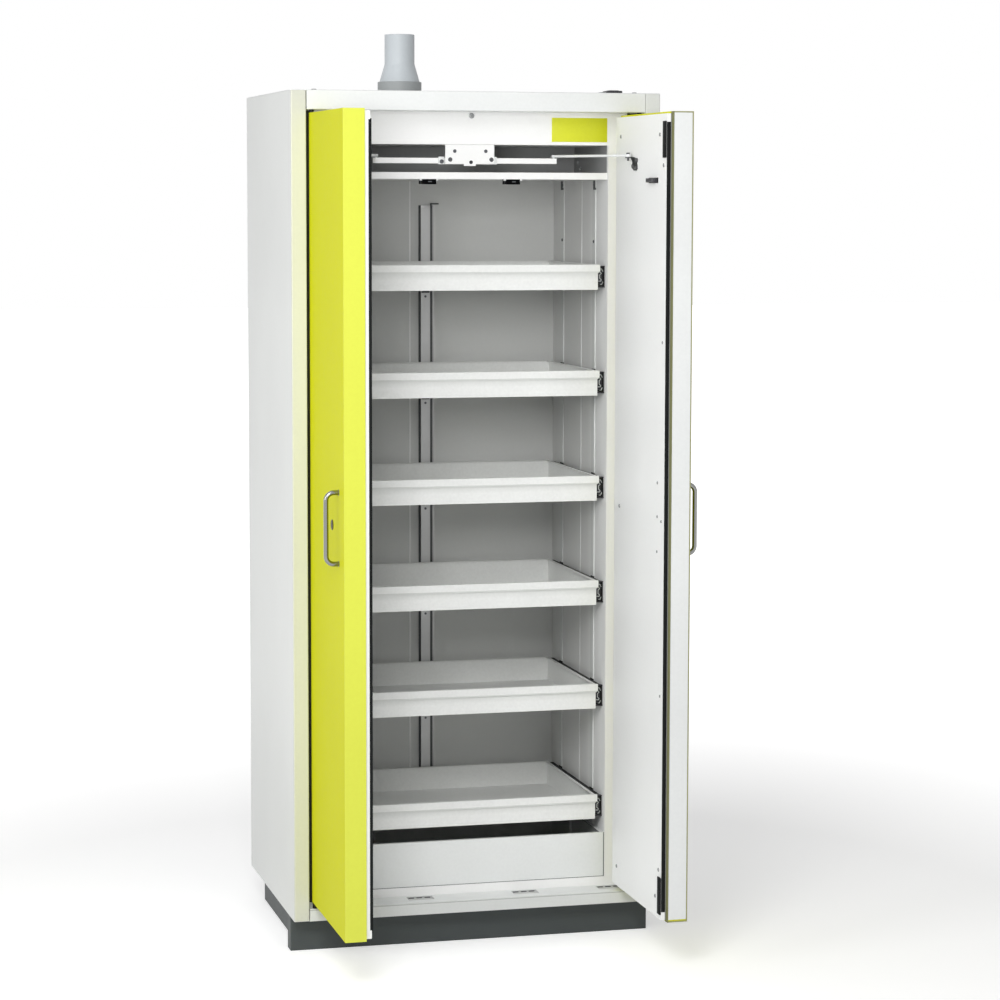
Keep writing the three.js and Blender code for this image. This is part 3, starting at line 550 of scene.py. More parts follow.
def joint_place(name: str) -> Vector:
    """A point on a hinge's axis, from the record."""
    joints = frame["record"]["behaviour"]["joints"]
    return Vector(next(j["pos_m"] for j in joints if j["name"] == name))


def dress(finish: Look, *nodes: str) -> None:
    """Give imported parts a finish.

    Args:
        finish: The finish.
        nodes: The parts' names.
    """
    for node in nodes:
        slots = frame["nodes"][node].data.materials
        slots.clear()
        slots.append(finish.material())


def near(axis: int, middles: Sequence[float], half: float) -> Mask:
    """The mask of the places that are close to any of several planes.

    Args:
        axis: The axis across the planes: 0, 1 or 2.
        middles: Where the planes are along it.
        half: How far to both sides of a plane the mask reaches.

    Returns:
        The mask's maker.
    """
    def mask(*place: Socket) -> Socket:
        """The sum of the planes' bands, which don't overlap."""
        return functools.reduce(operator.add, [abs(place[axis] - middle) < half for middle in middles])
    return mask


# Mesh building


def arc(centre: Pair, radius: float, start: float, end: float, steps: int) -> list[Pair]:
    """Points along an arc from the start angle to the end angle, in degrees."""
    angles = [math.radians(start + (end - start) * i / steps) for i in range(steps + 1)]
    return [(centre[0] + radius * math.cos(a), centre[1] + radius * math.sin(a)) for a in angles]


def drum(radius: float, height: float) -> list[Pair]:
    """The profile of a plain cylinder that starts at nought."""
    return [(0.0, 0.0), (radius, 0.0), (radius, height), (0.0, height)]


def turn_to(axis: Vec) -> Matrix:
    """The turn that takes +Z to an axis."""
    return Vector(Z_AXIS).rotation_difference(Vector(axis)).to_matrix().to_4x4()


@dataclass
class Piece:
    """A mesh that is built up from simple forms and then rides on one of the bodies.

    Attributes:
        name: The piece's name.
        body: The body that it rides on.
        finish: Its finish.
        mesh: The mesh while it is built.
    """

    name: str
    body: str
    finish: Look
    mesh: bmesh.types.BMesh = field(default_factory=bmesh.new)

    def block(self, low: Sequence[float], high: Sequence[float], ease: float = 0.0) -> None:
        """Add a block with eased edges.

        Args:
            low: Its lowest corner.
            high: Its highest corner.
            ease: How far its edges are rounded.
        """
        corners = Vector(low), Vector(high)
        size, middle = corners[1] - corners[0], (corners[0] + corners[1]) / 2
        matrix = Matrix.Translation(middle) @ Matrix.Diagonal((*size, 1.0))
        made = bmesh.ops.create_cube(self.mesh, size=1.0, matrix=matrix)
        if ease > 0:
            edges = {edge for vert in made["verts"] for edge in vert.link_edges}
            bmesh.ops.bevel(
                self.mesh, geom=list(edges), offset=ease, segments=2, profile=0.5, affect="EDGES")

    def sided(self, side: Side, low: Sequence[float], high: Sequence[float], ease: float) -> None:
        """Add a block on one side of the cabinet, given by its corners as on the right."""
        xs = sorted((side.value * low[0], side.value * high[0]))
        self.block((xs[0], *low[1:]), (xs[1], *high[1:]), ease)

    def turned(
        self, profile: Sequence[Pair], place: Sequence[float], axis: Vec = Z_AXIS, sides: int = 32,
    ) -> None:
        """Add a turned form, which is closed if its profile ends on the axis or where it starts.

        Args:
            profile: Radius and height of each ring, of which radius nought is a point.
            place: Where height nought is.
            axis: The direction of growing height.
            sides: How many sides it has.
        """
        matrix = Matrix.Translation(Vector(place)) @ turn_to(axis)
        rings: list[list[bmesh.types.BMVert]] = []
        for radius, height in profile:
            count = sides if radius > 0 else 1
            angles = [2 * math.pi * i / count for i in range(count)]
            spots = [Vector((radius * math.cos(a), radius * math.sin(a), height)) for a in angles]
            rings.append([self.mesh.verts.new(matrix @ spot) for spot in spots])
        for lower, upper in zip(rings, rings[1:]):
            self.band(lower, upper)

    def band(self, lower: list[bmesh.types.BMVert], upper: list[bmesh.types.BMVert]) -> None:
        """Join two rings with faces, either of which may be a single point.

        Args:
            lower: The first ring.
            upper: The second ring.
        """
        count = max(len(lower), len(upper))
        if count == 1:
            return
        for i in range(count):
            j = (i + 1) % count
            corners = [
                lower[i % len(lower)], lower[j % len(lower)],
                upper[j % len(upper)], upper[i % len(upper)]]
            face = [corner for k, corner in enumerate(corners) if corner not in corners[:k]]
            self.mesh.faces.new(face)

    def tube(self, path: Sequence[Vector], radius: float, sides: int) -> None:
        """Add a round bar along a path, closed at both ends.

        Args:
            path: The points of its centre line.
            radius: Its radius.
            sides: How many sides it has.
        """
        steps = [(b - a).normalized() for a, b in zip(path, path[1:])]
        heading = steps[0]
        across = heading.orthogonal().normalized()
        rings: list[list[bmesh.types.BMVert]] = []
        for i, point in enumerate(path):
            before, after = steps[max(i - 1, 0)], steps[min(i, len(steps) - 1)]
            lean = (before + after).normalized()
            across = heading.rotation_difference(lean) @ across
            heading = lean
            widen = 1 / max(lean.dot(after), 0.2)
            up = heading.cross(across)
            angles = [2 * math.pi * k / sides for k in range(sides)]
            reach = radius * (1 + (widen - 1) / 2)
            rings.append([
                self.mesh.verts.new(point + (across * math.cos(a) + up * math.sin(a)) * reach)
                for a in angles])
        for lower, upper in zip(rings, rings[1:]):
            self.band(lower, upper)
        self.mesh.faces.new(rings[0][::-1])
        self.mesh.faces.new(rings[-1])

    def drawn(self, outline: Sequence[Pair], low: float, high: float, frame_of: Matrix) -> None:
        """Add an outline drawn out along the local z of a frame.

        Args:
            outline: The outline in the frame's x and y.
            low: Where it starts along z.
            high: Where it ends along z.
            frame_of: Takes the frame's points to the cabinet's.
        """
        rings = [
            [self.mesh.verts.new(frame_of @ Vector((a, b, end))) for a, b in outline]
            for end in (low, high)]
        self.band(rings[0], rings[1])
        self.mesh.faces.new(rings[0][::-1])
        self.mesh.faces.new(rings[1])

    def screw(self, place: Sequence[float], axis: Vec, radius: float, height: float) -> None:
        """Add a pan head with a hexagon recess.

        Args:
            place: Where the head sits on its seat.
            axis: The direction that the head faces.
            radius: The head's radius.
            height: The head's height.
        """
        recess, floor = radius * 0.42, height * 0.3
        flat, skirt = radius * 0.55, height * 0.45
        dome = arc((0.0, 0.0), 1.0, 0, 90, 4)
        rim = [(flat + a * (radius - flat), skirt + b * (height - skirt)) for a, b in dome]
        self.turned([(0.0, 0.0), (radius, 0.0), *rim, (recess, height)], place, axis, sides=24)
        self.turned([(recess, height), (recess, floor), (0.0, floor)], place, axis, sides=6)

    def done(self, *replaced: str) -> None:
        """Turn the mesh into an object that rides on its body.

        Args:
            replaced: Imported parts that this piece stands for.
        """
        bmesh.ops.remove_doubles(self.mesh, verts=self.mesh.verts, dist=1e-6)
        bmesh.ops.recalc_face_normals(self.mesh, faces=self.mesh.faces)
        for face in self.mesh.faces:
            face.smooth = True
        for edge in self.mesh.edges:
            if len(edge.link_faces) == 2:
                edge.smooth = edge.calc_face_angle(0.0) < SMOOTH_UNDER
        data = bpy.data.meshes.new(self.name)
        self.mesh.to_mesh(data)
        self.mesh.free()
        data.materials.append(self.finish.material())
        made = bpy.data.objects.new(self.name, data)
        bpy.context.scene.collection.objects.link(made)
        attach(made, self.body)
        self.finish.slot
        if replaced:
            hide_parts(*replaced)
        log.info("%s rides on %s", self.name, self.body)


# Sub-assemblies


@dataclass
class Casing:
    """The white shell, the plinth and the small parts on them.

    Attributes:
        strip_fade: Where the front strip's painted shade starts and ends to fade, behind the front.
        sill_skin: How deep the sill's front gets its darker painted shade.
        bend_drops: Upper and lower edge of the painted shade line along the sill's bend, under the ledge.
        gap_width: Width of the painted shade in the dark hinge gap at each outer edge of the door frame.
        lining_fade: Where the side lining's painted shade starts and ends to deepen, behind its front.
        plate: Width, height and thickness of the bare plate on the door frame.
        plate_inset: The plate's place in from the opening's right edge and up from its top.
        header_screw: The header screw's place, across and up from the opening.
        plug_inset: The roof plugs' places in from the sides, the front and the rear.
        rear_inset: The rear screws' places in from the sides and from both ends.
        rear_rows: How many screws each side of the rear panel has.
        cup: Width and depth of a pocket's cup, and how far its floor is down.
        cup_wall: Wall of a cup.
        cup_front: How far the cups start behind the sill's front.
        cup_places: The inner cups' distance from the middle, the outer ones' from the sill's end.
        lug: Width, depth and pitch of the dark lugs in a cup.
        lug_drop: How far the lugs' tops are under the ledge.
        body: The body that the small parts ride on.
    """

    strip_fade: Pair = (1.0 * MM, 8.0 * MM)
    sill_skin: float = 1.4 * MM
    bend_drops: Pair = (2.0 * MM, 4.6 * MM)
    gap_width: float = 25.0 * MM
    lining_fade: Pair = (110.0 * MM, 240.0 * MM)
    plate: Vec = (138.5 * MM, 57.5 * MM, 0.8 * MM)
    plate_inset: Pair = (2.5 * MM, 7.5 * MM)
    header_screw: Pair = (0.5 * MM, 67.7 * MM)
    plug_inset: Vec = (58.5 * MM, 22.0 * MM, 40.0 * MM)
    rear_inset: Pair = (10.0 * MM, 40.0 * MM)
    rear_rows: int = 6
    cup: Vec = (63.6 * MM, 34.6 * MM, 3.2 * MM)
    cup_wall: float = 1.2 * MM
    cup_front: float = 26.2 * MM
    cup_places: Pair = (131.0 * MM, 64.8 * MM)
    lug: Vec = (14.0 * MM, 5.5 * MM, 20.0 * MM)
    lug_drop: float = 1.6 * MM
    body: str = "cabinet"

    def build(self) -> None:
        """Dress the shell and add its small parts."""
        self.shell()
        self.sill()
        self.lining()
        self.frame_plate()
        self.screws()
        self.pockets()

    def shell(self) -> None:
        """The outer panels with a painted shade strip, the door frame with painted shade in its dark hinge
        gaps, and the plinth.
        """
        front = Span.of("side_panel_left").low.y
        start, end = (front + fade for fade in self.strip_fade)
        # The left panel's front strip gets a painted shade that fades out behind the front.
        strip = TwoTone(
            "side_and_strip", SIDE_WHITE, STRIP_PAINTED_SHADE, lambda x, y, z: y.ramp(start, end, 1.0, 0.0))
        dress(strip, "side_panel_left")
        dress(SIDE_WHITE, "side_panel_right")
        dress(WHITE, "roof_panel", "rear_panel", "floor_panel")
        # The frame's outer margins, seen through the hinge gaps, are painted dark as painted shade. The
        # frame's own lighter white is painted light.
        gap = Span.of("front_frame").high.x - self.gap_width
        framed = TwoTone("frame_and_seam", FRAME_WHITE_PAINTED_LIGHT, HINGE_GAP_PAINTED_SHADE, lambda x, y, z: abs(x) > gap)
        dress(framed, "front_frame")
        dress(PLINTH_GREY, "base_frame", "plinth_panel")

    def sill(self) -> None:
        """The sill, whose front gets a darker painted shade and a painted shade line along its bend."""
        sill = Span.of("sill_panel")
        skin = sill.low.y + self.sill_skin
        upper, lower = (sill.high.z - drop for drop in self.bend_drops)
        # The sill's front is darker and its bend gets a grey line, both painted shade.
        front = TwoTone("sill_and_front", WHITE, UPRIGHT_WHITE_AND_SILL_SHADE, lambda x, y, z: y < skin)
        bend = TwoTone(
            "sill_and_bend", front, SILL_BEND_PAINTED_SHADE, lambda x, y, z: (y < skin) * (z < upper) * (z > lower))
        dress(bend, "sill_panel")

    def lining(self) -> None:
        """The boards, of which the side ones get painted shade towards the back and a grey painted shade
        above the cover, and the rear one a painted shade.
        """
        above = Span.of("ceiling_cover").high.z + 0.5 * MM
        front = Span.of("side_board_right").low.y
        start, end = (front + fade for fade in self.lining_fade)
        # The side linings darken towards the back and turn grey above the cover, and the rear lining is
        # darker too, all as painted shade.
        sides = TwoTone(
            "lining_front_and_back", BOARD_WHITE, SIDE_LINING_PAINTED_SHADE,
            lambda x, y, z: y.ramp(start, end, 0.0, 1.0))
        lining = TwoTone("lining_and_shade", sides, BOARD_SHADE, lambda x, y, z: z > above)
        dress(lining, "side_board_left", "side_board_right")
        dress(BOARD_WHITE, "roof_board", "floor_board")
        dress(REAR_LINING_PAINTED_SHADE, "rear_board")

    def frame_plate(self) -> None:
        """A bare yellow plate at the right of the header."""
        front = Span.of("front_frame").low.y
        width, height, thick = self.plate
        back = front - 0.02 * MM
        right = Span.of("ceiling_cover").high.x - self.plate_inset[0]
        low_z = opening_top() + self.plate_inset[1]
        piece = Piece("header_plate", self.body, PLATE_YELLOW)
        piece.block(
            (right - width, front - thick, low_z), (right, back, low_z + height), ease=0.3 * MM)
        piece.done()

    def screws(self) -> None:
        """The header's screw, the roof's corner plugs and the screws around the rear panel."""
        across, up = self.header_screw
        header = Piece("header_screw", self.body, PALE_SCREW)
        place = (across, Span.of("front_frame").low.y, opening_top() + up)
        header.screw(place, FORWARD, radius=6.5 * MM, height=3.0 * MM)
        header.done()
        roof = Span.of("roof_panel")
        side, front, rear = self.plug_inset
        plugs = Piece("roof_plugs", self.body, DARK_SCREW)
        for x in (roof.low.x + side, roof.high.x - side):
            for y in (roof.low.y + front, roof.high.y - rear):
                plugs.screw((x, y, roof.high.z), Z_AXIS, radius=6.0 * MM, height=2.2 * MM)
        plugs.done()
        panel = Span.of("rear_panel")
        side, end = self.rear_inset
        ring = Piece("rear_screws", self.body, DARK_SCREW)
        for x in (panel.low.x + side, panel.high.x - side):
            for i in range(self.rear_rows):
                z = panel.low.z + end + (panel.size.z - 2 * end) * i / (self.rear_rows - 1)
                ring.screw((x, panel.high.y, z), Y_AXIS, radius=4.0 * MM, height=1.8 * MM)
        ring.done()

    def pockets(self) -> None:
        """Metal cups in the four openings of the sill's ledge, each with three dark lugs and a black strip
        of painted shade along its left wall.
        """
        sill = Span.of("sill_panel")
        width, depth, drop = self.cup
        inner, outer = self.cup_places[0], sill.high.x - self.cup_places[1]
        cups = Piece("sill_pockets", self.body, CUP_GREY)
        lugs = Piece("sill_pocket_lugs", self.body, BLACK_PLASTIC_AND_SHADE)
        for middle in (-outer, -inner, inner, outer):
            low = Vector((middle - width / 2, sill.low.y + self.cup_front, sill.high.z - drop))
            high = Vector((middle + width / 2, low.y + depth, sill.high.z - 0.4 * MM))
            self.cup_shell(cups, low, high)
            self.cup_lugs(lugs, low, high, sill.high.z - self.lug_drop)
        cups.done()
        lugs.done()

    def cup_shell(self, cups: Piece, low: Vector, high: Vector) -> None:
        """Add one cup's floor and four walls.

        Args:
            cups: The piece that gets them.
            low: The lowest corner of the cup's room.
            high: The highest corner of the cup's walls.
        """
        wall, under = self.cup_wall, low.z - self.cup_wall
        cups.block((low.x, low.y, under), (high.x, high.y, low.z))
        cups.block((low.x, low.y, under), (low.x + wall, high.y, high.z))
        cups.block((high.x - wall, low.y, under), (high.x, high.y, high.z))
        cups.block((low.x, low.y, under), (high.x, low.y + wall, high.z))
        cups.block((low.x, high.y - wall, under), (high.x, high.y, high.z))

    def cup_lugs(self, lugs: Piece, low: Vector, high: Vector, top: float) -> None:
        """Add three lugs along a cup's back and a narrow black strip of painted shade at its left wall.

        Args:
            lugs: The piece that gets them.
            low: The lowest corner of the cup's room.
            high: The highest corner of the cup's walls.
            top: Height of the lugs' tops.
        """
        width, depth, pitch = self.lug
        back, left = high.y - self.cup_wall, low.x + self.cup_wall
        middle = (low.x + high.x) / 2
        for x in (middle - pitch, middle, middle + pitch):
            lugs.block(
                (x - width / 2, high.y - depth, low.z), (x + width / 2, back, top), ease=0.8 * MM)
        # The black strip along the cup's left wall is painted shade.
        left_shade_front, left_shade_width = low.y + 14.0 * MM, 3.0 * MM
        lugs.block((left, left_shade_front, low.z), (low.x + left_shade_width, back, top), ease=0.6 * MM)


@dataclass
class Exhaust:
    """The socket and the reducer on the roof, and the low black cap beside them.

    Attributes:
        pipe: Outer radius of the pipe and of the socket's spigot.
        wall: Wall of the pipe.
        rim: Wall of the socket's rim.
        neck: How far the cone's upper end is over the socket's rim.
        groove: Height of the groove round the socket over its foot.
        sides: How many sides the turned forms have.
        ramp_length: Length of the grey ramp beside the cap.
        body: The body that they ride on.
    """

    pipe: float = 37.5 * MM
    wall: float = 2.5 * MM
    rim: float = 4.5 * MM
    neck: float = 43.0 * MM
    groove: float = 8.0 * MM
    sides: int = 96
    ramp_length: float = 33.0 * MM
    body: str = "cabinet"

    def build(self) -> None:
        """Make the socket, the reducer and the cap."""
        socket, reducer = Span.of("vent_socket"), Span.of("vent_reducer")
        self.socket(socket)
        self.reducer(reducer, socket.high.z)
        self.cap()

    def socket(self, box: Span) -> None:
        """The dark grey collar with its spigot down through the roof.

        Args:
            box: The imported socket's box.
        """
        outer, bore = box.size.x / 2, self.pipe - self.wall
        foot, top = Span.of("roof_panel").high.z + 0.2 * MM, box.high.z
        seat, floor = outer - self.rim, foot + self.rim
        bend, cut = 1.5 * MM, 0.8 * MM
        low, high = foot + self.groove, foot + self.groove + 2.0 * MM
        profile = [
            (bore, box.low.z), (self.pipe, box.low.z), (self.pipe, foot), (outer, foot),
            (outer, low), (outer - cut, low + cut), (outer - cut, high), (outer, high + cut),
            *arc((outer - bend, top - bend), bend, 0, 90, 4),
            (seat, top), (seat, floor), (bore, floor), (bore, box.low.z)]
        collar = Piece("exhaust_socket", self.body, COLLAR_GREY)
        collar.turned(profile, (box.middle.x, box.middle.y, 0.0), sides=self.sides)
        collar.done("vent_socket")

    def reducer(self, box: Span, collar_top: float) -> None:
        """The pale grey cone and pipe that stand in the collar.

        Args:
            box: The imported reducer's box.
            collar_top: Height of the collar's rim.
        """
        wide, pipe, wall = box.size.x / 2, self.pipe, self.wall
        neck, top = collar_top + self.neck, box.high.z
        foot = [(0.0, 1.5), (-0.8, 3.5)]
        throat = [(2.2, -6.0), (0.7, -1.5), (0.0, 3.0)]
        profile = [
            (wide, box.low.z),
            *((wide + out * MM, collar_top + up * MM) for out, up in foot),
            *((pipe + out * MM, neck + up * MM) for out, up in throat),
            *arc((pipe - wall / 2, top - wall / 2), wall / 2, 0, 180, 6),
            (pipe - wall, neck), (wide - wall, collar_top), (wide - wall, box.low.z),
            (wide, box.low.z)]
        reducer = Piece("exhaust_reducer", self.body, PIPE_GREY)
        reducer.turned(profile, (box.middle.x, box.middle.y, 0.0), sides=self.sides)
        reducer.done("vent_reducer")

    def cap(self) -> None:
        """The low black cap, with a grey ramp for a cable on its left."""
        box = Span.of("roof_cap")
        low, high = box.low, box.high
        roof = Span.of("roof_panel").high.z + 0.1 * MM
        step = Vector((7.0, 9.0, 0.0)) * MM
        cap = Piece("roof_cap_moulding", self.body, BLACK_PLASTIC_AND_SHADE)
        cap.block((low.x, low.y, roof), high, ease=2.4 * MM)
        cap.block(
            (low.x + step.x, low.y + step.y, high.z - 1.0 * MM),
            (high.x - step.x, high.y - step.y, high.z + 1.2 * MM), ease=1.0 * MM)
        cap.done("roof_cap")
        across = Matrix(((1, 0, 0, 0), (0, 0, -1, 0), (0, 1, 0, 0), (0, 0, 0, 1)))
        start, end, top = low.x - self.ramp_length, low.x - 0.3 * MM, high.z - 3.0 * MM
        outline = [
            (start, roof), (end, roof), (end, top), (low.x - 8.0 * MM, top), (start, roof + 1.1 * MM)]
        inset = 10.0 * MM
        ramp = Piece("roof_cap_ramp", self.body, COLLAR_GREY)
        ramp.drawn(outline, inset - high.y, -inset - low.y, across)
        ramp.done()


@dataclass
class Interior:
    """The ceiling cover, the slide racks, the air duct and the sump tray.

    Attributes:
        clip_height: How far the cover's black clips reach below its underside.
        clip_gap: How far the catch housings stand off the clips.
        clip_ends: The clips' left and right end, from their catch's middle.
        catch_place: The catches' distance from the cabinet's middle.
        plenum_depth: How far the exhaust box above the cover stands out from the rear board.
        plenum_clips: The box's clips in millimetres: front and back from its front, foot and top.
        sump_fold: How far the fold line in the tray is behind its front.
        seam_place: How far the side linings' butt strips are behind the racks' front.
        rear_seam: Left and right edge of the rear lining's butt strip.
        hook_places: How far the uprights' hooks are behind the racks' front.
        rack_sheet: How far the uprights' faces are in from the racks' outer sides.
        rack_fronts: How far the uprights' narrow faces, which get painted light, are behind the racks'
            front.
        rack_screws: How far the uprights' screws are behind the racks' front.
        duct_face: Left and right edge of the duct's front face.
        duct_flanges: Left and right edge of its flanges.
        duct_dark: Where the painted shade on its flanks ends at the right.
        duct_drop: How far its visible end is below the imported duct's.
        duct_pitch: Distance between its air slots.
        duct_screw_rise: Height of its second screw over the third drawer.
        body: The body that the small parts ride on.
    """

    clip_height: float = 12.0 * MM
    clip_gap: float = 0.4 * MM
    clip_ends: Pair = (-15.6 * MM, 18.4 * MM)
    catch_place: float = 103.0 * MM
    plenum_depth: float = 196.0 * MM
    plenum_clips: tuple[tuple[float, ...], ...] = ((-38, -30, 24, 31), (-58, -55, 7, 15))
    sump_fold: float = 285.0 * MM
    seam_place: float = 203.0 * MM
    rear_seam: Pair = (-42.5 * MM, -38.5 * MM)
    hook_places: Pair = (87.0 * MM, 380.0 * MM)
    rack_sheet: float = 2.1 * MM
    rack_fronts: Pair = (77.2 * MM, 361.2 * MM)
    rack_screws: Pair = (89.7 * MM, 373.7 * MM)
    duct_face: Pair = (-14.3 * MM, 9.2 * MM)
    duct_flanges: Pair = (-18.0 * MM, 22.2 * MM)
    duct_dark: float = 18.7 * MM
    duct_drop: float = 63.0 * MM
    duct_pitch: float = 272.0 * MM
    duct_screw_rise: float = 213.0 * MM
    body: str = "cabinet"

    def build(self) -> None:
        """Dress the inside of the cabinet and add its small parts."""
        cover = Span.of("ceiling_cover")
        under = cover.low.z + self.clip_height
        # The cover's lighter white is painted light.
        clips = TwoTone(
            "cover_and_clips", FRAME_WHITE_PAINTED_LIGHT, BLACK_PLASTIC_AND_SHADE, lambda x, y, z: z < under - HAIR)
        dress(clips, "ceiling_cover")
        self.duct()
        self.plenum(cover)
        self.sump()
        self.racks()
        self.wall_seams(cover)
        self.catch_housings(cover, under)

    def plenum(self, cover: Span) -> None:
        """The exhaust box over the cover, which leads from the duct to the socket; its grey is painted
        shade.

        Args:
            cover: The cover's box.
        """
        gap, sheet = 0.3 * MM, 1.5 * MM
        half = cover.high.x - 0.6 * MM
        front = Span.of("rear_board").low.y - self.plenum_depth
        low, high = cover.high.z + gap, opening_top() - gap
        # The box's grey is painted shade for the space above the cover.
        box = Piece("exhaust_box", self.body, PLENUM_PAINTED_SHADE)
        box.block((-half, front, low), (half, front + sheet, high), ease=0.4 * MM)
        box.done()
        inner, outer = half - 3.0 * MM, half + 0.4 * MM
        clips = Piece("exhaust_box_clips", self.body, PALE_SCREW)
        for side in Side:
            for ahead, behind, foot, top in self.plenum_clips:
                clips.sided(
                    side, (inner, front + ahead * MM, low + foot * MM),
                    (outer, front + behind * MM, low + top * MM), ease=0.5 * MM)
        clips.done()

    def sump(self) -> None:
        """A white tray with painted shade inside, a pale fold line on each side wall, and a grey strip of
        painted shade along its front's foot and right end.
        """
        box = Span.of("sump_tray")
        low, high = box.low, box.high
        edge = high.x - 5.0 * MM
        front, back = low.y + 3.0 * MM, high.y - 3.0 * MM
        floor, rim = low.z + 0.4 * MM, high.z - 0.5 * MM
        # Inside the tray a dark grey is painted shade.
        inside = TwoTone(
            "sump_white_and_inside", WHITE, SUMP_INSIDE_PAINTED_SHADE,
            lambda x, y, z: (abs(x) < edge) * (y > front) * (y < back) * (z > floor) * (z < rim))
        dress(inside, "sump_tray")
        wall, proud = high.x - 1.6 * MM, 5.5 * MM
        fold, half = low.y + self.sump_fold, 1.0 * MM
        folds = Piece("sump_folds", self.body, BOARD_WHITE)
        for side in Side:
            folds.sided(
                side, (wall - proud, fold - half, low.z + 8.0 * MM),
                (wall, fold + half, high.z - 3.0 * MM), ease=0.3 * MM)
        folds.done()
        # A grey strip under the tray's front and up its right end is painted shade in the gap.
        face, skin, end = low.y - 0.3 * MM, low.y + 0.1 * MM, high.x + 0.1 * MM
        gap = Piece("sump_gap", self.body, HOOK_GREY_AND_GAP_SHADE)
        gap.block((-end, face, low.z - 0.1 * MM), (end, skin, low.z + 1.1 * MM))
        gap.block((end - 1.4 * MM, face, low.z), (end + 0.2 * MM, skin, high.z))
        gap.done()

    def wall_seams(self, cover: Span) -> None:
        """The butt strip in each side lining, the one in the rear lining, and the uprights' hooks.

        Args:
            cover: The cover's box.
        """
        low, high = Span.of("sump_tray").high.z + 5.0 * MM, cover.low.z + 10.0 * MM
        rack, rear = Span.of("slide_rack_right"), Span.of("rear_board").low.y
        wall, proud, half = cover.high.x + 0.8 * MM, 0.9 * MM, 2.0 * MM
        middle = rack.low.y + self.seam_place
        left, right = self.rear_seam
        seams = Piece("lining_seams", self.body, BOARD_WHITE)
        seams.block((left, rear - proud, low), (right, rear - HAIR, high), ease=0.3 * MM)
        hooks = Piece("upright_hooks", self.body, HOOK_GREY_AND_GAP_SHADE)
        face = rack.high.x - self.rack_sheet - 0.1 * MM
        tip, foot, crook = face - 2.4 * MM, high - 22.0 * MM, high - 17.0 * MM
        for side in Side:
            seams.sided(
                side, (wall - proud, middle - half, low), (wall, middle + half, high), ease=0.3 * MM)
            for place in self.hook_places:
                y = rack.low.y + place
                back = y + 3.0 * MM
                for front, top in ((y - 9.0 * MM, high + 0.5 * MM), (y - 16.0 * MM, crook)):
                    hooks.sided(side, (tip, front, foot), (face, back, top), ease=0.8 * MM)
        seams.done()
        hooks.done()

    def racks(self) -> None:
        """White uprights with painted light on their narrow faces and black fixed slide members, and the
        uprights' screws.
        """
        front = Span.of("slide_rack_right").low.y
        edges = [front + place for place in self.rack_fronts]
        rails = [Span.of(f"slide_{number}_right").middle.z for number in range(1, DRAWERS + 1)]
        half = Span.of("slide_1_right").size.z / 2 + 5.0 * MM
        # The uprights' narrow faces get a lighter white as painted light.
        posts = TwoTone("uprights_and_edges", UPRIGHT_WHITE_AND_SILL_SHADE, UPRIGHT_EDGE_PAINTED_LIGHT, near(1, edges, 0.4 * MM))
        upright = TwoTone("uprights_and_rails", posts, SLIDE_BLACK, near(2, rails, half))
        for side in Side:
            rack = Span.of(f"slide_rack_{side.word}")
            dress(upright, f"slide_rack_{side.word}")
            x = side.value * (rack.outer - self.rack_sheet)
            screws = Piece(f"rack_screws_{side.word}", self.body, DARK_SCREW)
            for place in self.rack_screws:
                for z in (rack.high.z - 12.0 * MM, rack.high.z - 150.0 * MM, rack.low.z + 14.0 * MM):
                    screws.screw((x, front + place, z), side.inward, radius=4.0 * MM, height=2.0 * MM)
            screws.done()

    def catch_housings(self, cover: Span, under: float) -> None:
        """Roller catches on the two black clips under the cover's front edge.

        Args:
            cover: The cover's box.
            under: Height of the cover's underside.
        """
        low_z, front, gap = cover.low.z, cover.low.y + 0.75 * MM, self.clip_gap
        face, back, top = front - 1.0 * MM, front + 0.4 * MM, under - 1.2 * MM
        ear_width, ear_front, ear_back = 4.5 * MM, front - 1.2 * MM, front + 10.0 * MM
        ear_foot, ear_top = under - 3.4 * MM, under - 0.3 * MM
        roller = drum(2.6 * MM, 9.0 * MM)
        housing = Piece("catch_housings", self.body, CATCH_BLACK)
        rollers = Piece("catch_rollers", self.body, DARK_SCREW)
        ears = Piece("catch_ears", self.body, BOARD_WHITE)
        for middle in (-self.catch_place, self.catch_place):
            low, high = (middle + end for end in self.clip_ends)
            housing.block((low - gap, face, low_z - gap), (high + gap, back, top))
            for x in (low - 5.0 * MM, high + 0.5 * MM):
                ears.block(
                    (x, ear_front, ear_foot), (x + ear_width, ear_back, ear_top), ease=0.4 * MM)
            place = (middle - 1.0 * MM, front + 1.3 * MM, low_z + 6.0 * MM)
            rollers.turned(roller, place, X_AXIS, sides=20)
        housing.done()
        rollers.done()
        ears.done()

    def duct(self) -> None:
        """The air duct as a folded channel with flanges, whose upper end the picture shows."""
        box = Span.of("air_duct")
        left, right = self.duct_face
        front, top, bend = box.low.y, box.high.z - self.duct_drop, 0.5 * MM
        wall, back = box.high.y - 0.1 * MM, box.high.y - 0.9 * MM
        outer_left, outer_right = self.duct_flanges
        outline = [
            (outer_left, wall), (outer_left, back), (left - bend, back), (left - bend, front + bend),
            (left, front), (right, front), (right + bend, front + bend), (right + bend, back),
            (outer_right, back), (outer_right, wall)]
        skin, end, dark = front + 0.4 * MM, top - 0.2 * MM, self.duct_dark
        # Behind its front face the duct is painted darker up to the right end of the shade, as painted
        # shade.
        shaded = TwoTone(
            "duct_face_and_flanks", ZINC, ZINC_PAINTED_SHADE, lambda x, y, z: (y > skin) * (z < end) * (x < dark))
        channel = Piece("air_duct_channel", self.body, shaded)
        channel.drawn(outline, box.low.z, top, Matrix.Identity(4))
        lip, thick = 9.0 * MM, 0.6 * MM
        channel.block((left, front - thick, top - lip), (right, front, top), ease=0.3 * MM)
        channel.done("air_duct")
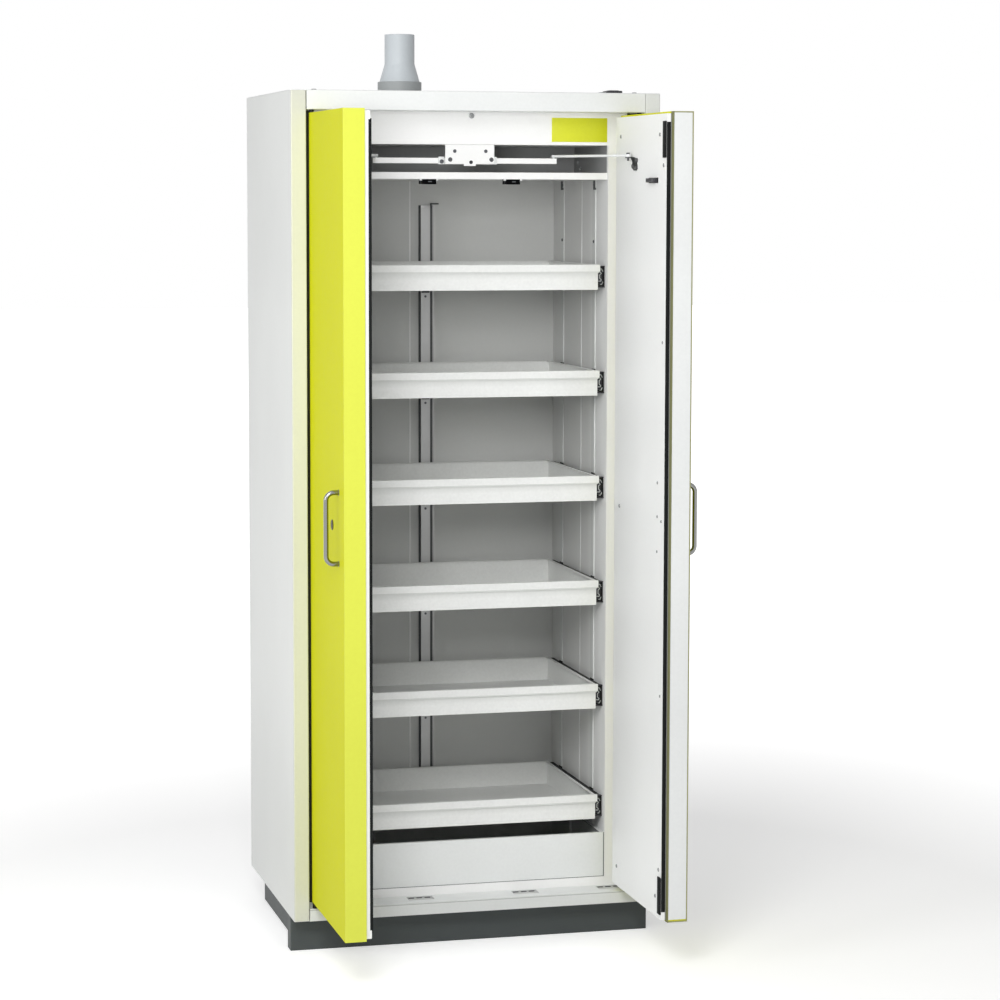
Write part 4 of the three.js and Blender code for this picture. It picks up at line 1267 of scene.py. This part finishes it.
        # The air slots are black blocks on the duct's face, as painted shade.
        slots = Piece("air_duct_slots", self.body, BLACK_PLASTIC_AND_SHADE)
        screws = Piece("air_duct_screws", self.body, DARK_SCREW)
        inset, foot, head = 1.0 * MM, 9.0 * MM, 27.0 * MM
        for number in range(DRAWERS):
            rise = self.duct_screw_rise + (1 - number) * self.duct_pitch
            z = Span.of("drawer_3").low.z + rise
            screws.screw(((left + right) / 2, front, z), FORWARD, radius=3.0 * MM, height=1.4 * MM)
            slots.block(
                (left + inset, front - 0.3 * MM, z + foot), (right - inset, front + 0.5 * MM, z + head),
                ease=0.2 * MM)
        slots.done()
        screws.done()
        near_y, far_y, head = box.high.y - 4.0 * MM, box.high.y - 0.5 * MM, top + 5.5 * MM
        hook = Piece("air_duct_hook", self.body, HOOK_GREY_AND_GAP_SHADE)
        for width, foot in ((4.0 * MM, top - 4.0 * MM), (22.0 * MM, top + 2.0 * MM)):
            start = right + 3.0 * MM
            hook.block((start, near_y, foot), (start + width, far_y, head), ease=0.4 * MM)
        hook.done()


@dataclass
class Drawers:
    """The six trays, their middle slide members and the ball cages in them.

    Attributes:
        cage_from_front: How far a ball cage starts behind the slide's front end.
        cage_from_back: How far it ends in front of the slide's back end.
        cage_height: Height of a ball cage.
        lip_height: Height of the lip along a tray's front.
        lip_depth: How far behind a tray's front the shaded fold reaches.
        fold: Height of the shaded fold under the lip.
        tray_gap: How far a tray's side wall is in from the slides' outer faces.
        stops: A slide's stops in millimetres: start out from the tray, foot and top.
        cut_edge: Radius of the members' cut edges.
        outer_lines: Cut edges of the middle member in millimetres out from the tray and up.
        inner_lines: Cut edges of the member on the tray, given alike.
    """

    cage_from_front: float = 1.5 * MM
    cage_from_back: float = 60.0 * MM
    cage_height: float = 35.0 * MM
    lip_height: float = 16.6 * MM
    lip_depth: float = 6.0 * MM
    fold: float = 20.0 * MM
    tray_gap: float = 12.5 * MM
    stops: tuple[Vec, ...] = ((7, 23.6, 25.6), (1, -26.6, -23.6))
    cut_edge: float = 0.85 * MM
    outer_lines: tuple[tuple[Pair, ...], ...] = (
        ((6.2, 18.5), (9.6, 18.5), (13.2, 11.6)), ((13.2, -12.7), (10.2, -19.0), (6.2, -19.0)))
    inner_lines: tuple[tuple[Pair, ...], ...] = ((
        (1.2, 10.6), (7.3, 10.6), (9.0, 7.4), (5.2, 4.0), (5.2, -4.2), (9.0, -7.9), (8.0, -11.1),
        (1.2, -11.1)),)

    def build(self) -> None:
        """Dress the trays and slides and add the ball cages."""
        member_front = Span.of("slide_1_right").low.y - 0.1 * MM
        edge = self.tray_edge() + HAIR
        for number in range(1, DRAWERS + 1):
            node = f"drawer_{number}"
            # Each tray is a lighter white as painted light, with a grey band under its lip that fades
            # downwards as painted shade.
            plain = TwoTone(
                f"drawer_fold_{number}", DRAWER_WHITE_PAINTED_LIGHT, FOLD_PAINTED_SHADE, self.fold_mask(Span.of(node)))
            member = TwoTone(
                f"drawer_and_slide_{number}", plain, SLIDE_BLACK,
                lambda x, y, z: (abs(x) > edge) * (y > member_front))
            dress(member, node)
            for side in Side:
                self.slide(number, side)

    def tray_edge(self) -> float:
        """How far out the trays' side walls are, behind the slides' inner members."""
        return Span.of("drawer_1").high.x - self.tray_gap

    def fold_mask(self, tray: Span) -> Mask:
        """The mask of the shaded fold under a tray's lip.

        Args:
            tray: The tray's box.

        Returns:
            The mask's maker.
        """
        high = tray.high.z - self.lip_height
        low, back = high - self.fold, tray.low.y + self.lip_depth
        return lambda x, y, z: (z < high) * (y < back) * z.ramp(low, high, 0.0, 1.0)

    def slide(self, number: int, side: Side) -> None:
        """Dress one middle member and put a ball cage into it.

        Args:
            number: The drawer's number from the top.
            side: The cabinet's side.
        """
        node = f"slide_{number}_{side.word}"
        box = Span.of(node)
        dress(SLIDE_BLACK, node)
        start, end = box.low.y + self.cage_from_front, box.high.y - self.cage_from_back
        middle, half = box.middle.z, self.cage_height / 2
        cage = Piece(f"ball_cage_{number}_{side.word}", f"slides_{number}", BLACK_PLASTIC_AND_SHADE)
        cage.sided(
            side, (box.inner - 2.0 * MM, start, middle - half),
            (box.outer - 1.6 * MM, end, middle + half), ease=1.2 * MM)
        cage.done()
        self.slide_end(number, side, box.low.y, middle)

    def slide_end(self, number: int, side: Side, front: float, middle: float) -> None:
        """The front end of a slide: a black stop on the rail and the members' grey cut edges.

        Args:
            number: The drawer's number from the top.
            side: The cabinet's side.
            front: Where the slide starts.
            middle: The slide's middle height.
        """
        tail = f"{number}_{side.word}"
        tray, rail = self.tray_edge(), Span.of("slide_rack_right").high.x - 0.2 * MM
        stop = Piece(f"slide_stop_{tail}", "cabinet", BLACK_PLASTIC_AND_SHADE)
        for out, foot, top in self.stops:
            stop.sided(
                side, (tray + out * MM, front - 1.0 * MM, middle + foot * MM),
                (rail, front + 14.0 * MM, middle + top * MM), ease=0.5 * MM)
        stop.done()
        members = (
            ("outer", f"slides_{number}", self.outer_lines),
            ("inner", f"drawer_{number}", self.inner_lines))
        for name, body, lines in members:
            edges = Piece(f"slide_edges_{name}_{tail}", body, SLIDE_EDGE)
            for line in lines:
                points = [
                    Vector((side.value * (tray + out * MM), front - 0.5 * MM, middle + up * MM))
                    for out, up in line]
                edges.tube(points, self.cut_edge, sides=6)
            edges.done()


@dataclass
class Door:
    """One wing door with what is fixed to it.

    Attributes:
        side: The cabinet's side that the door hangs on.
        tube_radius: Radius of the handle's bar.
        tube_bend: Radius of the handle's bends.
        lap_start: Where the right liner's edge starts to take the rim's olive painted shade.
        seal_width: Width of the edge seal.
        seal_lips: The seal's outline, as shares of its rise and millimetres from its edge.
        pad_ends: How far the seal's pads reach past the seal's end, and along it.
        screw_rows: The screws' rows near the hinge, near the edge and at the seal, from the edge.
        corner_screws: Row and drop of the large screws near the top, in millimetres.
        lower_screws: Row, shift to the edge and rise of the large screws lower down, alike.
        small_screws: Row and share of the door's height of each small screw.
        leaf: Outline of the closer bracket's leaf, in millimetres towards the free edge and down.
        leaf_screws: The leaf's screws, given alike.
        sheet: Thickness of the bracket's sheet.
    """

    side: Side
    tube_radius: float = 5.6 * MM
    tube_bend: float = 18.0 * MM
    lap_start: float = 353.4 * MM
    seal_width: float = 9.7 * MM
    seal_lips: tuple[Pair, ...] = (
        (0.6, 0.0), (0.17, 0.8), (0.0, 2.2), (0.0, 4.4), (0.35, 5.2), (0.35, 6.2), (0.1, 7.2),
        (0.17, 9.1), (0.6, 9.7))
    pad_ends: Vec = (7.0 * MM, 2.5 * MM, 80.0 * MM)
    screw_rows: Vec = (361.0 * MM, 56.0 * MM, 26.0 * MM)
    corner_screws: tuple[tuple[int, float], ...] = ((0, 50.5), (1, 51.5), (2, 121.5))
    lower_screws: tuple[tuple[int, float, float], ...] = (
        (0, 6, 935), (0, 0, 53), (1, 6, 53), (2, 0, 120))
    small_screws: tuple[tuple[int, float], ...] = (
        (2, 0.2825), (2, 0.4997), (2, 0.7195), (1, 0.4606), (1, 0.504), (1, 0.546))
    leaf: tuple[Pair, ...] = (
        (2, 3), (26, 4), (40, 7), (46, 6), (50, 9), (49, 14), (44, 17), (48, 23), (48, 31), (42, 35),
        (24, 35), (16, 31), (7, 29), (5, 24), (12, 18), (10, 12), (2, 8))
    leaf_screws: tuple[Pair, ...] = ((44, 11), (20, 26), (40, 29))
    sheet: float = 2.5 * MM

    @property
    def body(self) -> str:
        """The door's body."""
        return f"door_{self.side.word}"

    @property
    def face(self) -> float:
        """How far out the plug's inner face is."""
        return Span.of(f"door_liner_{self.side.word}").inner

    @property
    def seat(self) -> float:
        """How far out the fittings on that face sit."""
        return self.face - 0.1 * MM

    def build(self) -> None:
        """Dress the door and make its fittings."""
        dress(BOARD_WHITE, f"door_liner_{self.side.word}")
        dress(SLIDE_BLACK, f"hinge_rod_{self.side.word}")
        if self.side is Side.RIGHT:
            self.right_tones()
        else:
            # The left door's front edge is a paler yellow, painted light.
            rim = Span.of("door_skin_left").low.y + 1.2 * MM
            fronted = TwoTone("yellow_with_front", YELLOW, YELLOW_FRONT_PAINTED_LIGHT, lambda x, y, z: y < rim)
            dress(fronted, "door_skin_left")
        self.handle()
        self.seal()
        self.inner_screws()
        self.catch()
        self.bracket()
        self.arm()
        if self.side is Side.LEFT:
            self.lock()

    def right_tones(self) -> None:
        """The right door's edges in olive painted shade, its strip's yellow foot darkened as painted shade,
        and its liner's edge in grey painted shade.
        """
        strip, liner = Span.of("edge_strip_right"), Span.of("door_liner_right")
        rim = Span.of("door_skin_right").low.y + 0.6 * MM
        edge, outer, deep = strip.low.x + 0.1 * MM, strip.high.x - 0.5 * MM, rim + 14.0 * MM
        # The skin's front rim and its fold beside the strip are olive, painted shade.
        rims = TwoTone("yellow_edge_and_rim", EDGE_OLIVE_PAINTED_SHADE, RIM_OLIVE_PAINTED_SHADE, lambda x, y, z: x < edge)
        edged = TwoTone(
            "yellow_with_edge", YELLOW, rims,
            lambda x, y, z: (y < rim) + (y > rim) * (y < deep) * (x < outer))
        dress(edged, "door_skin_right")
        # The strip's foot takes the skin's yellow, darkened as painted shade.
        foot = strip.low.z + 3.2 * MM
        footed = TwoTone("strip_and_foot", WHITE, BOTTOM_YELLOW_AND_SHADE, lambda x, y, z: z < foot)
        dress(footed, "edge_strip_right")
        # The liner's front edge is grey, and olive towards the rim, as painted shade.
        front, inner, lap = liner.low.y + 3.0 * MM, liner.low.x + 9.0 * MM, self.lap_start
        side = TwoTone("board_edge_and_rim", BOARD_EDGE_PAINTED_SHADE, RIM_OLIVE_PAINTED_SHADE, lambda x, y, z: x > lap)
        board = TwoTone(
            "board_with_edge", BOARD_WHITE, side, lambda x, y, z: (y < front) * (x > inner))
        dress(board, "door_liner_right")

    def handle(self) -> None:
        """The bow handle as a smooth bar with a washer at each foot."""
        word, sign = self.side.word, self.side.value
        box, bar, bend = Span.of(f"handle_{word}"), self.tube_radius, self.tube_bend
        foot = Span.of(f"door_skin_{word}").outer + 0.1 * MM
        start = box.outer - bar - 2.0 * MM - bend
        low, high, y = box.low.z + bar, box.high.z - bar, box.middle.y
        lower = arc((start, low + bend), bend, -90, 0, 10)
        upper = arc((start, high - bend), bend, 0, 90, 10)
        line = [(foot, low), *lower, *upper, (foot, high)]
        bow = Piece(f"bow_handle_{word}", self.body, CHROME)
        bow.tube([Vector((sign * x, y, z)) for x, z in line], bar, sides=28)
        hole, brim = bar - 0.2 * MM, 6.8 * MM
        washer = [(hole, 0.0), (brim, 0.0), (brim, 0.8 * MM), (hole, 1.4 * MM), (hole, 0.0)]
        for z in (low, high):
            bow.turned(washer, (sign * foot, y, z), (float(sign), 0.0, 0.0), sides=32)
        bow.done(f"handle_{word}")

    def seal(self) -> None:
        """The black edge seal as a lipped rubber profile with its two thick end pads."""
        word, sign = self.side.word, self.side.value
        box, (proud, depth) = Span.of(f"edge_seal_{word}"), self.seal_reach
        low, high, edge = box.low.z, box.high.z, box.low.y
        tip, root, end = self.face - proud, self.face + depth, edge + self.seal_width
        lips = [(tip + share * proud, edge + up * MM) for share, up in self.seal_lips]
        profile = [(root, edge + 0.6 * MM), (root - 1.0 * MM, edge), *lips, (root, end)]
        strip = Piece(f"edge_seal_profile_{word}", self.body, SEAL_BLACK)
        strip.drawn([(sign * x, y) for x, y in profile], low, high, Matrix.Identity(4))
        under, over, along = self.pad_ends
        inner, front, back = box.inner + 0.1 * MM, edge + 1.0 * MM, box.high.y - 5.0 * MM
        for foot, top in ((low - under, low + along), (high - along, high + over)):
            strip.sided(self.side, (inner, front, foot), (self.seat, back, top), ease=0.7 * MM)
        strip.done(f"edge_seal_{word}")
        if proud < 0:
            lap = Piece(f"seal_lap_{word}", self.body, BOARD_WHITE)
            front, inner = edge + 1.6 * MM, root - 1.0 * MM
            lap.sided(self.side, (self.face, front, low), (inner, end, high), ease=0.2 * MM)
            lap.done()

    @property
    def seal_reach(self) -> Pair:
        """How far the seal stands proud of the plug's face, and how deep it sits beside it."""
        return (3.5 * MM, 3.7 * MM) if self.side is Side.LEFT else (-0.4 * MM, 9.2 * MM)

    def inner_screws(self) -> None:
        """Screws in the door's white inner face."""
        skin, x = Span.of(f"door_skin_{self.side.word}"), self.side.value * self.face
        low, high = skin.low.z, skin.high.z
        rows = [skin.low.y + row for row in self.screw_rows]
        large = [(rows[row], high - drop * MM) for row, drop in self.corner_screws]
        large += [(rows[row] - shift * MM, low + rise * MM) for row, shift, rise in self.lower_screws]
        small = [(rows[row], low + (high - low) * share) for row, share in self.small_screws]
        screws = Piece(f"door_screws_{self.side.word}", self.body, PALE_SCREW)
        for places, radius, height in ((large, 4.5 * MM, 2.0 * MM), (small, 3.4 * MM, 1.6 * MM)):
            for y, z in places:
                screws.screw((x, y, z), self.side.inward, radius, height)
        screws.done()

    def catch(self) -> None:
        """The black catch tongue: a moulded base with a nose that points to the hinge."""
        word, sign, seat = self.side.word, self.side.value, self.seat
        box = Span.of(f"door_catch_{word}")
        low, high, tip = box.low.z, box.high.z, box.inner
        nose, tail = box.high.y, box.low.y
        outline = [
            (seat, nose), (seat - 3.0 * MM, nose), (tip + 2.0 * MM, nose - 12.0 * MM),
            (tip, nose - 16.0 * MM), (tip, tail + 14.0 * MM), (tip + 3.0 * MM, tail + 11.0 * MM),
            (seat - 4.0 * MM, tail + 10.0 * MM), (seat - 3.0 * MM, tail), (seat, tail)]
        inset, base = 1.5 * MM, 2.6 * MM
        tongue = Piece(f"catch_tongue_{word}", self.body, BLACK_PLASTIC_AND_SHADE)
        tongue.drawn([(sign * x, y) for x, y in outline], low + inset, high - inset, Matrix.Identity(4))
        tongue.sided(
            self.side, (seat - base, tail, low), (seat, nose - 6.0 * MM, high), ease=0.6 * MM)
        tongue.done(f"door_catch_{word}")

    def bracket(self) -> None:
        """The closer arm's angle bracket with its pin, nut, bolt and the leaf's screws."""
        word, sign, seat, sheet = self.side.word, self.side.value, self.seat, self.sheet
        pivot, edge = joint_place(f"arm_{word}_turn"), Span.of(f"arm_bracket_{word}").high.y
        top, play, radius = pivot.z - 3.3 * MM, 0.1 * MM, 6.5 * MM
        bracket = Piece(f"angle_bracket_{word}", self.body, DARK_PLATED)
        leaf = [(edge - ahead * MM, pivot.z - down * MM) for ahead, down in self.leaf]
        upright = Matrix(((0, 0, sign, 0), (1, 0, 0, 0), (0, 1, 0, 0), (0, 0, 0, 1)))
        bracket.drawn(leaf, seat - sheet, seat, upright)
        turn = (-90, 90) if self.side is Side.LEFT else (90, 270)
        ring = arc((0.0, 0.0), radius, *turn, 12)
        root = sign * (seat - 1.0 * MM) - pivot.x
        ear = [(root, ring[0][1] - 6.0 * MM), *ring, (root, ring[-1][1])]
        bracket.drawn(ear, top - sheet, top, Matrix.Translation((pivot.x, pivot.y, 0)))
        joint = Piece(f"bracket_joint_{word}", self.body, HOOK_GREY_AND_GAP_SHADE)
        pin = drum(2.5 * MM, pivot.z + 3.4 * MM - top)
        nut = [*drum(4.6 * MM, 3.0 * MM)[:3], (3.8 * MM, 3.8 * MM), (0.0, 3.8 * MM)]
        bolt = drum(2.6 * MM, 6.4 * MM)
        for profile, foot, sides in (
                (pin, top + play, 20), (nut, pivot.z + 3.3 * MM, 6), (bolt, top - 9.0 * MM, 12)):
            joint.turned(profile, (pivot.x, pivot.y, foot), Z_AXIS, sides)
        for ahead, down in self.leaf_screws:
            place = (sign * (seat - sheet), edge - ahead * MM, pivot.z - down * MM)
            joint.screw(place, self.side.inward, radius=4.2 * MM, height=2.4 * MM)
        bracket.done(f"arm_bracket_{word}")
        joint.done()

    def arm(self) -> None:
        """The closer arm: a white rod with an eye on the bracket and a runner pin in the rail."""
        word, head, half = self.side.word, 5.0 * MM, 3.0 * MM
        box, pivot = Span.of(f"closer_arm_{word}"), joint_place(f"arm_{word}_turn")
        rail_x = box.low.x + head if self.side is Side.RIGHT else box.high.x - head
        runner = Vector((rail_x, box.high.y - head, pivot.z))
        heading = (runner - pivot).normalized()
        hole, chamfer, brim, flank = 2.9 * MM, 6.2 * MM, 6.5 * MM, 2.4 * MM
        eye = [
            (hole, -half), (chamfer, -half), (brim, -flank), (brim, flank), (chamfer, half),
            (hole, half), (hole, -half)]
        knob = [
            (0.0, -half), (4.6 * MM, -half), (head, -flank), (head, flank), (4.4 * MM, half),
            (0.0, half)]
        foot, shank = box.low.z, 2.5 * MM
        pin = [
            (0.0, foot), (2.1 * MM, foot), (shank, foot + 0.6 * MM), (shank, runner.z),
            (0.0, runner.z)]
        rod = Piece(f"closer_rod_{word}", f"arm_{word}", WHITE)
        rod.turned(eye, pivot, sides=32)
        rod.tube([pivot + heading * 5.0 * MM, pivot + heading * 16.0 * MM, runner], half, sides=20)
        rod.turned(knob, runner, sides=32)
        rod.turned(pin, (runner.x, runner.y, 0.0), sides=24)
        rod.done(f"closer_arm_{word}")

    def lock(self) -> None:
        """The lock: a rosette on the door's face around a cylinder with a keyway."""
        box = Span.of("lock_cylinder")
        centre = Vector((box.low.x, box.middle.y, box.middle.z))
        hole, brim, head, depth = 8.0 * MM, 12.0 * MM, 2.6 * MM, box.size.x
        rosette = [
            (hole, head), (brim, head), (brim, 1.4 * MM), (11.0 * MM, 0.5 * MM), (8.6 * MM, 0.0),
            (hole, 0.5 * MM), (hole, head)]
        face, plug = 0.6 * MM, 7.9 * MM
        cylinder = [(0.0, face), (7.4 * MM, face), (plug, 1.1 * MM), (plug, depth), (0.0, depth)]
        lock = Piece("lock_rosette_and_plug", "lock", LOCK_STEEL)
        lock.turned(rosette, centre, X_AXIS, sides=48)
        lock.turned(cylinder, centre, X_AXIS, sides=40)
        lock.done("lock_cylinder")
        # The keyway is a black block that stands in for the shade in its slot: painted shade.
        low, high = Vector((0.3, -2.4, -4.6)) * MM, Vector((1.2, 2.4, 4.6)) * MM
        key = Piece("lock_keyway", "lock", BLACK_PLASTIC_AND_SHADE)
        key.block(centre + low, centre + high, ease=0.2 * MM)
        key.done()


@dataclass
class Closer:
    """The plate and the guide rail of the door closer.

    Attributes:
        shelf: How far the plate's shelf is over its lower edge.
        screw_places: The plate's screws, across from its middle and up from its shelf.
        rivet_places: The plate's larger pale rivets, given alike.
        sight_place: The sight hole, given alike.
        body: The body that the small parts ride on.
    """

    shelf: float = 4.0 * MM
    screw_places: tuple[Pair, ...] = ((-37, 31), (39, 31))
    rivet_places: tuple[Pair, ...] = ((-48, 11), (53, 11))
    sight_place: Pair = (3, 4.7)
    body: str = "cabinet"

    def build(self) -> None:
        """Dress the plate and the rail and add screws, the sight hole and the end stops."""
        # The plate and the rail take the lighter white, painted light.
        dress(FRAME_WHITE_PAINTED_LIGHT, "closer_plate", "closer_rail")
        plate, rail = Span.of("closer_plate"), Span.of("closer_rail")
        screws = Piece("closer_screws", self.body, DARK_SCREW)
        for spot in self.screw_places:
            screws.screw(self.on_plate(plate, spot), FORWARD, radius=4.2 * MM, height=1.8 * MM)
        screws.done()
        rivets = Piece("closer_rivets", self.body, HOOK_GREY_AND_GAP_SHADE)
        for spot in self.rivet_places:
            rivets.screw(self.on_plate(plate, spot), FORWARD, radius=5.2 * MM, height=1.6 * MM)
        rivets.done()
        # The sight hole is a flat black disc, painted shade for the hole.
        sight = Piece("closer_sight_hole", self.body, BLACK_PLASTIC_AND_SHADE)
        sight.turned(
            drum(4.4 * MM, 0.4 * MM), self.on_plate(plate, self.sight_place), FORWARD, sides=24)
        sight.done()
        face, back = rail.low.y - 5.0 * MM, rail.low.y - 0.2 * MM
        foot, top = rail.low.z - 2.0 * MM, rail.high.z + 3.0 * MM
        left, right = plate.low.x - 1.0 * MM, plate.high.x + 0.5 * MM
        stops = Piece("closer_stops", self.body, WHITE)
        for start, end in ((left - 14.0 * MM, left), (right, right + 7.0 * MM)):
            stops.block((start, face, foot), (end, back, top), ease=0.7 * MM)
        stops.done()
        bolt = Piece("closer_stop_bolt", self.body, DARK_SCREW)
        place = (left - 7.0 * MM, face, rail.low.z + 4.5 * MM)
        bolt.screw(place, FORWARD, radius=5.0 * MM, height=2.4 * MM)
        bolt.done()

    def on_plate(self, plate: Span, spot: Pair) -> Vec:
        """A place on the plate, in millimetres across from its middle and up from its shelf."""
        x, z = plate.middle.x + spot[0] * MM, plate.low.z + self.shelf + spot[1] * MM
        return (x, plate.low.y, z)


@dataclass(frozen=True)
class Lamp:
    """A square area lamp that looks at a point.

    Attributes:
        name: The lamp's name.
        place: Where it hangs.
        target: The point that it looks at.
        size: Its edge length.
        power: Its power in watts.
    """

    name: str
    place: Vec
    target: Vec
    size: float
    power: float

    def hang(self) -> None:
        """Add the lamp to the scene."""
        data = bpy.data.lights.new(self.name, "AREA")
        data.size = self.size
        data.energy = self.power
        lamp = bpy.data.objects.new(self.name, data)
        away = Vector(self.target) - Vector(self.place)
        turn = away.to_track_quat("-Z", "Y").to_matrix().to_4x4()
        lamp.matrix_world = Matrix.Translation(self.place) @ turn
        bpy.context.scene.collection.objects.link(lamp)


LAMPS = (
    Lamp("key", (-2.3, -4.5, 4.4), (0.0, 0.0, 1.1), 2.5, 92.0),
    Lamp("left", (-5.0, -0.6, 2.4), (0.0, 0.0, 1.0), 3.0, 8.0),
    Lamp("corner", (-4.3, -2.4, 2.2), (0.2, 0.0, 1.1), 1.8, 62.0),
    Lamp("low", (-1.1, -2.9, 2.05), (0.0, 0.0, 1.7), 0.8, 34.0),
)


@dataclass
class Studio:
    """Floor, lamps, world and the camera of the photograph.

    Attributes:
        place: The camera's place.
        yaw: How far the camera looks to the right of +Y, in radians.
        pitch: How far it looks up, in radians.
        roll: How far it leans, in radians.
        focal_share: Focal length in picture widths.
        shift: Vertical shift in picture widths.
        sensor: Width of the camera's sensor.
        world_light: Strength of the world as light.
        floor_lift: How far the floor glows for the camera beside the cabinet.
        floor_near: Distance from the cabinet's middle where the floor's glow starts to grow.
        floor_far: Distance where the floor is as white as the backdrop.
    """

    place: Vec = (-1.6688, -6.7697, 1.8014)
    yaw: float = 0.25327
    pitch: float = -0.09713
    roll: float = 0.00215
    focal_share: float = 2.89406
    shift: float = -0.02
    sensor: float = 36.0
    world_light: float = 0.28
    floor_lift: float = 0.42
    floor_near: float = 1.5
    floor_far: float = 4.0

    def build(self) -> None:
        """Make the camera, the floor, the lamps and the world."""
        self.camera()
        self.floor()
        self.lamps()
        self.world()
        bpy.context.scene.view_settings.view_transform = "Standard"

    def camera(self) -> None:
        """Place the camera that matches the photograph."""
        ahead = Vector((
            math.sin(self.yaw) * math.cos(self.pitch), math.cos(self.yaw) * math.cos(self.pitch),
            math.sin(self.pitch)))
        flat_right = Vector((math.cos(self.yaw), -math.sin(self.yaw), 0.0))
        flat_up = flat_right.cross(ahead)
        right = flat_right * math.cos(self.roll) + flat_up * math.sin(self.roll)
        up = flat_up * math.cos(self.roll) - flat_right * math.sin(self.roll)
        turn = Matrix((right, up, -ahead)).transposed().to_4x4()
        data = bpy.data.cameras.new("camera")
        data.sensor_width = self.sensor
        data.lens = self.sensor * self.focal_share
        data.shift_y = self.shift
        data.clip_end = 100.0
        camera = bpy.data.objects.new("camera", data)
        camera.matrix_world = Matrix.Translation(Vector(self.place)) @ turn
        bpy.context.scene.collection.objects.link(camera)
        bpy.context.scene.camera = camera

    def floor(self) -> None:
        """A plain pale floor that is white to the camera but for the cabinet's shadow."""
        size = 40.0
        data = bpy.data.meshes.new("floor")
        corners = [(-size, -size, 0), (size, -size, 0), (size, size, 0), (-size, size, 0)]
        data.from_pydata(corners, [], [(0, 1, 2, 3)])
        shading = Shading.named("floor_white")
        pale = shading.noise(0.5).ramp(*NOISE_SPAN, 0.0, 1.0)
        colour = shading.blend(pale, Colour(240, 240, 240).linear(), Colour(244, 244, 244).linear())
        seen = shading.seen()
        matt = {"Base Color": colour, "Roughness": 0.9}
        plain = shading.node("ShaderNodeBsdfPrincipled", inputs=matt)
        away = shading.node("ShaderNodeVectorMath", {"operation": "LENGTH"}, {0: shading.place()}, 1)
        glow = away.ramp(self.floor_near, self.floor_far, self.floor_lift, 1.0)
        glowing = {**matt, "Emission Color": glow, "Emission Strength": 1.0}
        lifted = shading.node("ShaderNodeBsdfPrincipled", inputs=glowing)
        mixed = shading.node("ShaderNodeMixShader", inputs={0: seen, 1: plain, 2: lifted})
        data.materials.append(shading.close(mixed))
        floor = bpy.data.objects.new("floor", data)
        bpy.context.scene.collection.objects.link(floor)

    def lamps(self) -> None:
        """Hang every lamp."""
        for lamp in LAMPS:
            lamp.hang()

    def world(self) -> None:
        """A white world to the camera and in gloss, and a softer one as light."""
        world = bpy.data.worlds.new("studio")
        bpy.context.scene.world = world
        shading = Shading(world)
        seen = shading.seen()
        strength = seen.ramp(0.0, 1.0, self.world_light, 1.0)
        sky = shading.node("ShaderNodeBackground", inputs={"Color": WHITE_LIGHT, "Strength": strength})
        shading.node("ShaderNodeOutputWorld", inputs={"Surface": sky})


def main() -> None:
    """Build the looks in order."""
    logging.basicConfig(level=logging.INFO, format="%(name)s: %(message)s")
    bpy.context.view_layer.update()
    Studio().build()
    Casing().build()
    Exhaust().build()
    Interior().build()
    Drawers().build()
    for side in Side:
        Door(side).build()
    Closer().build()
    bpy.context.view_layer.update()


if __name__ == "__main__":
    main()
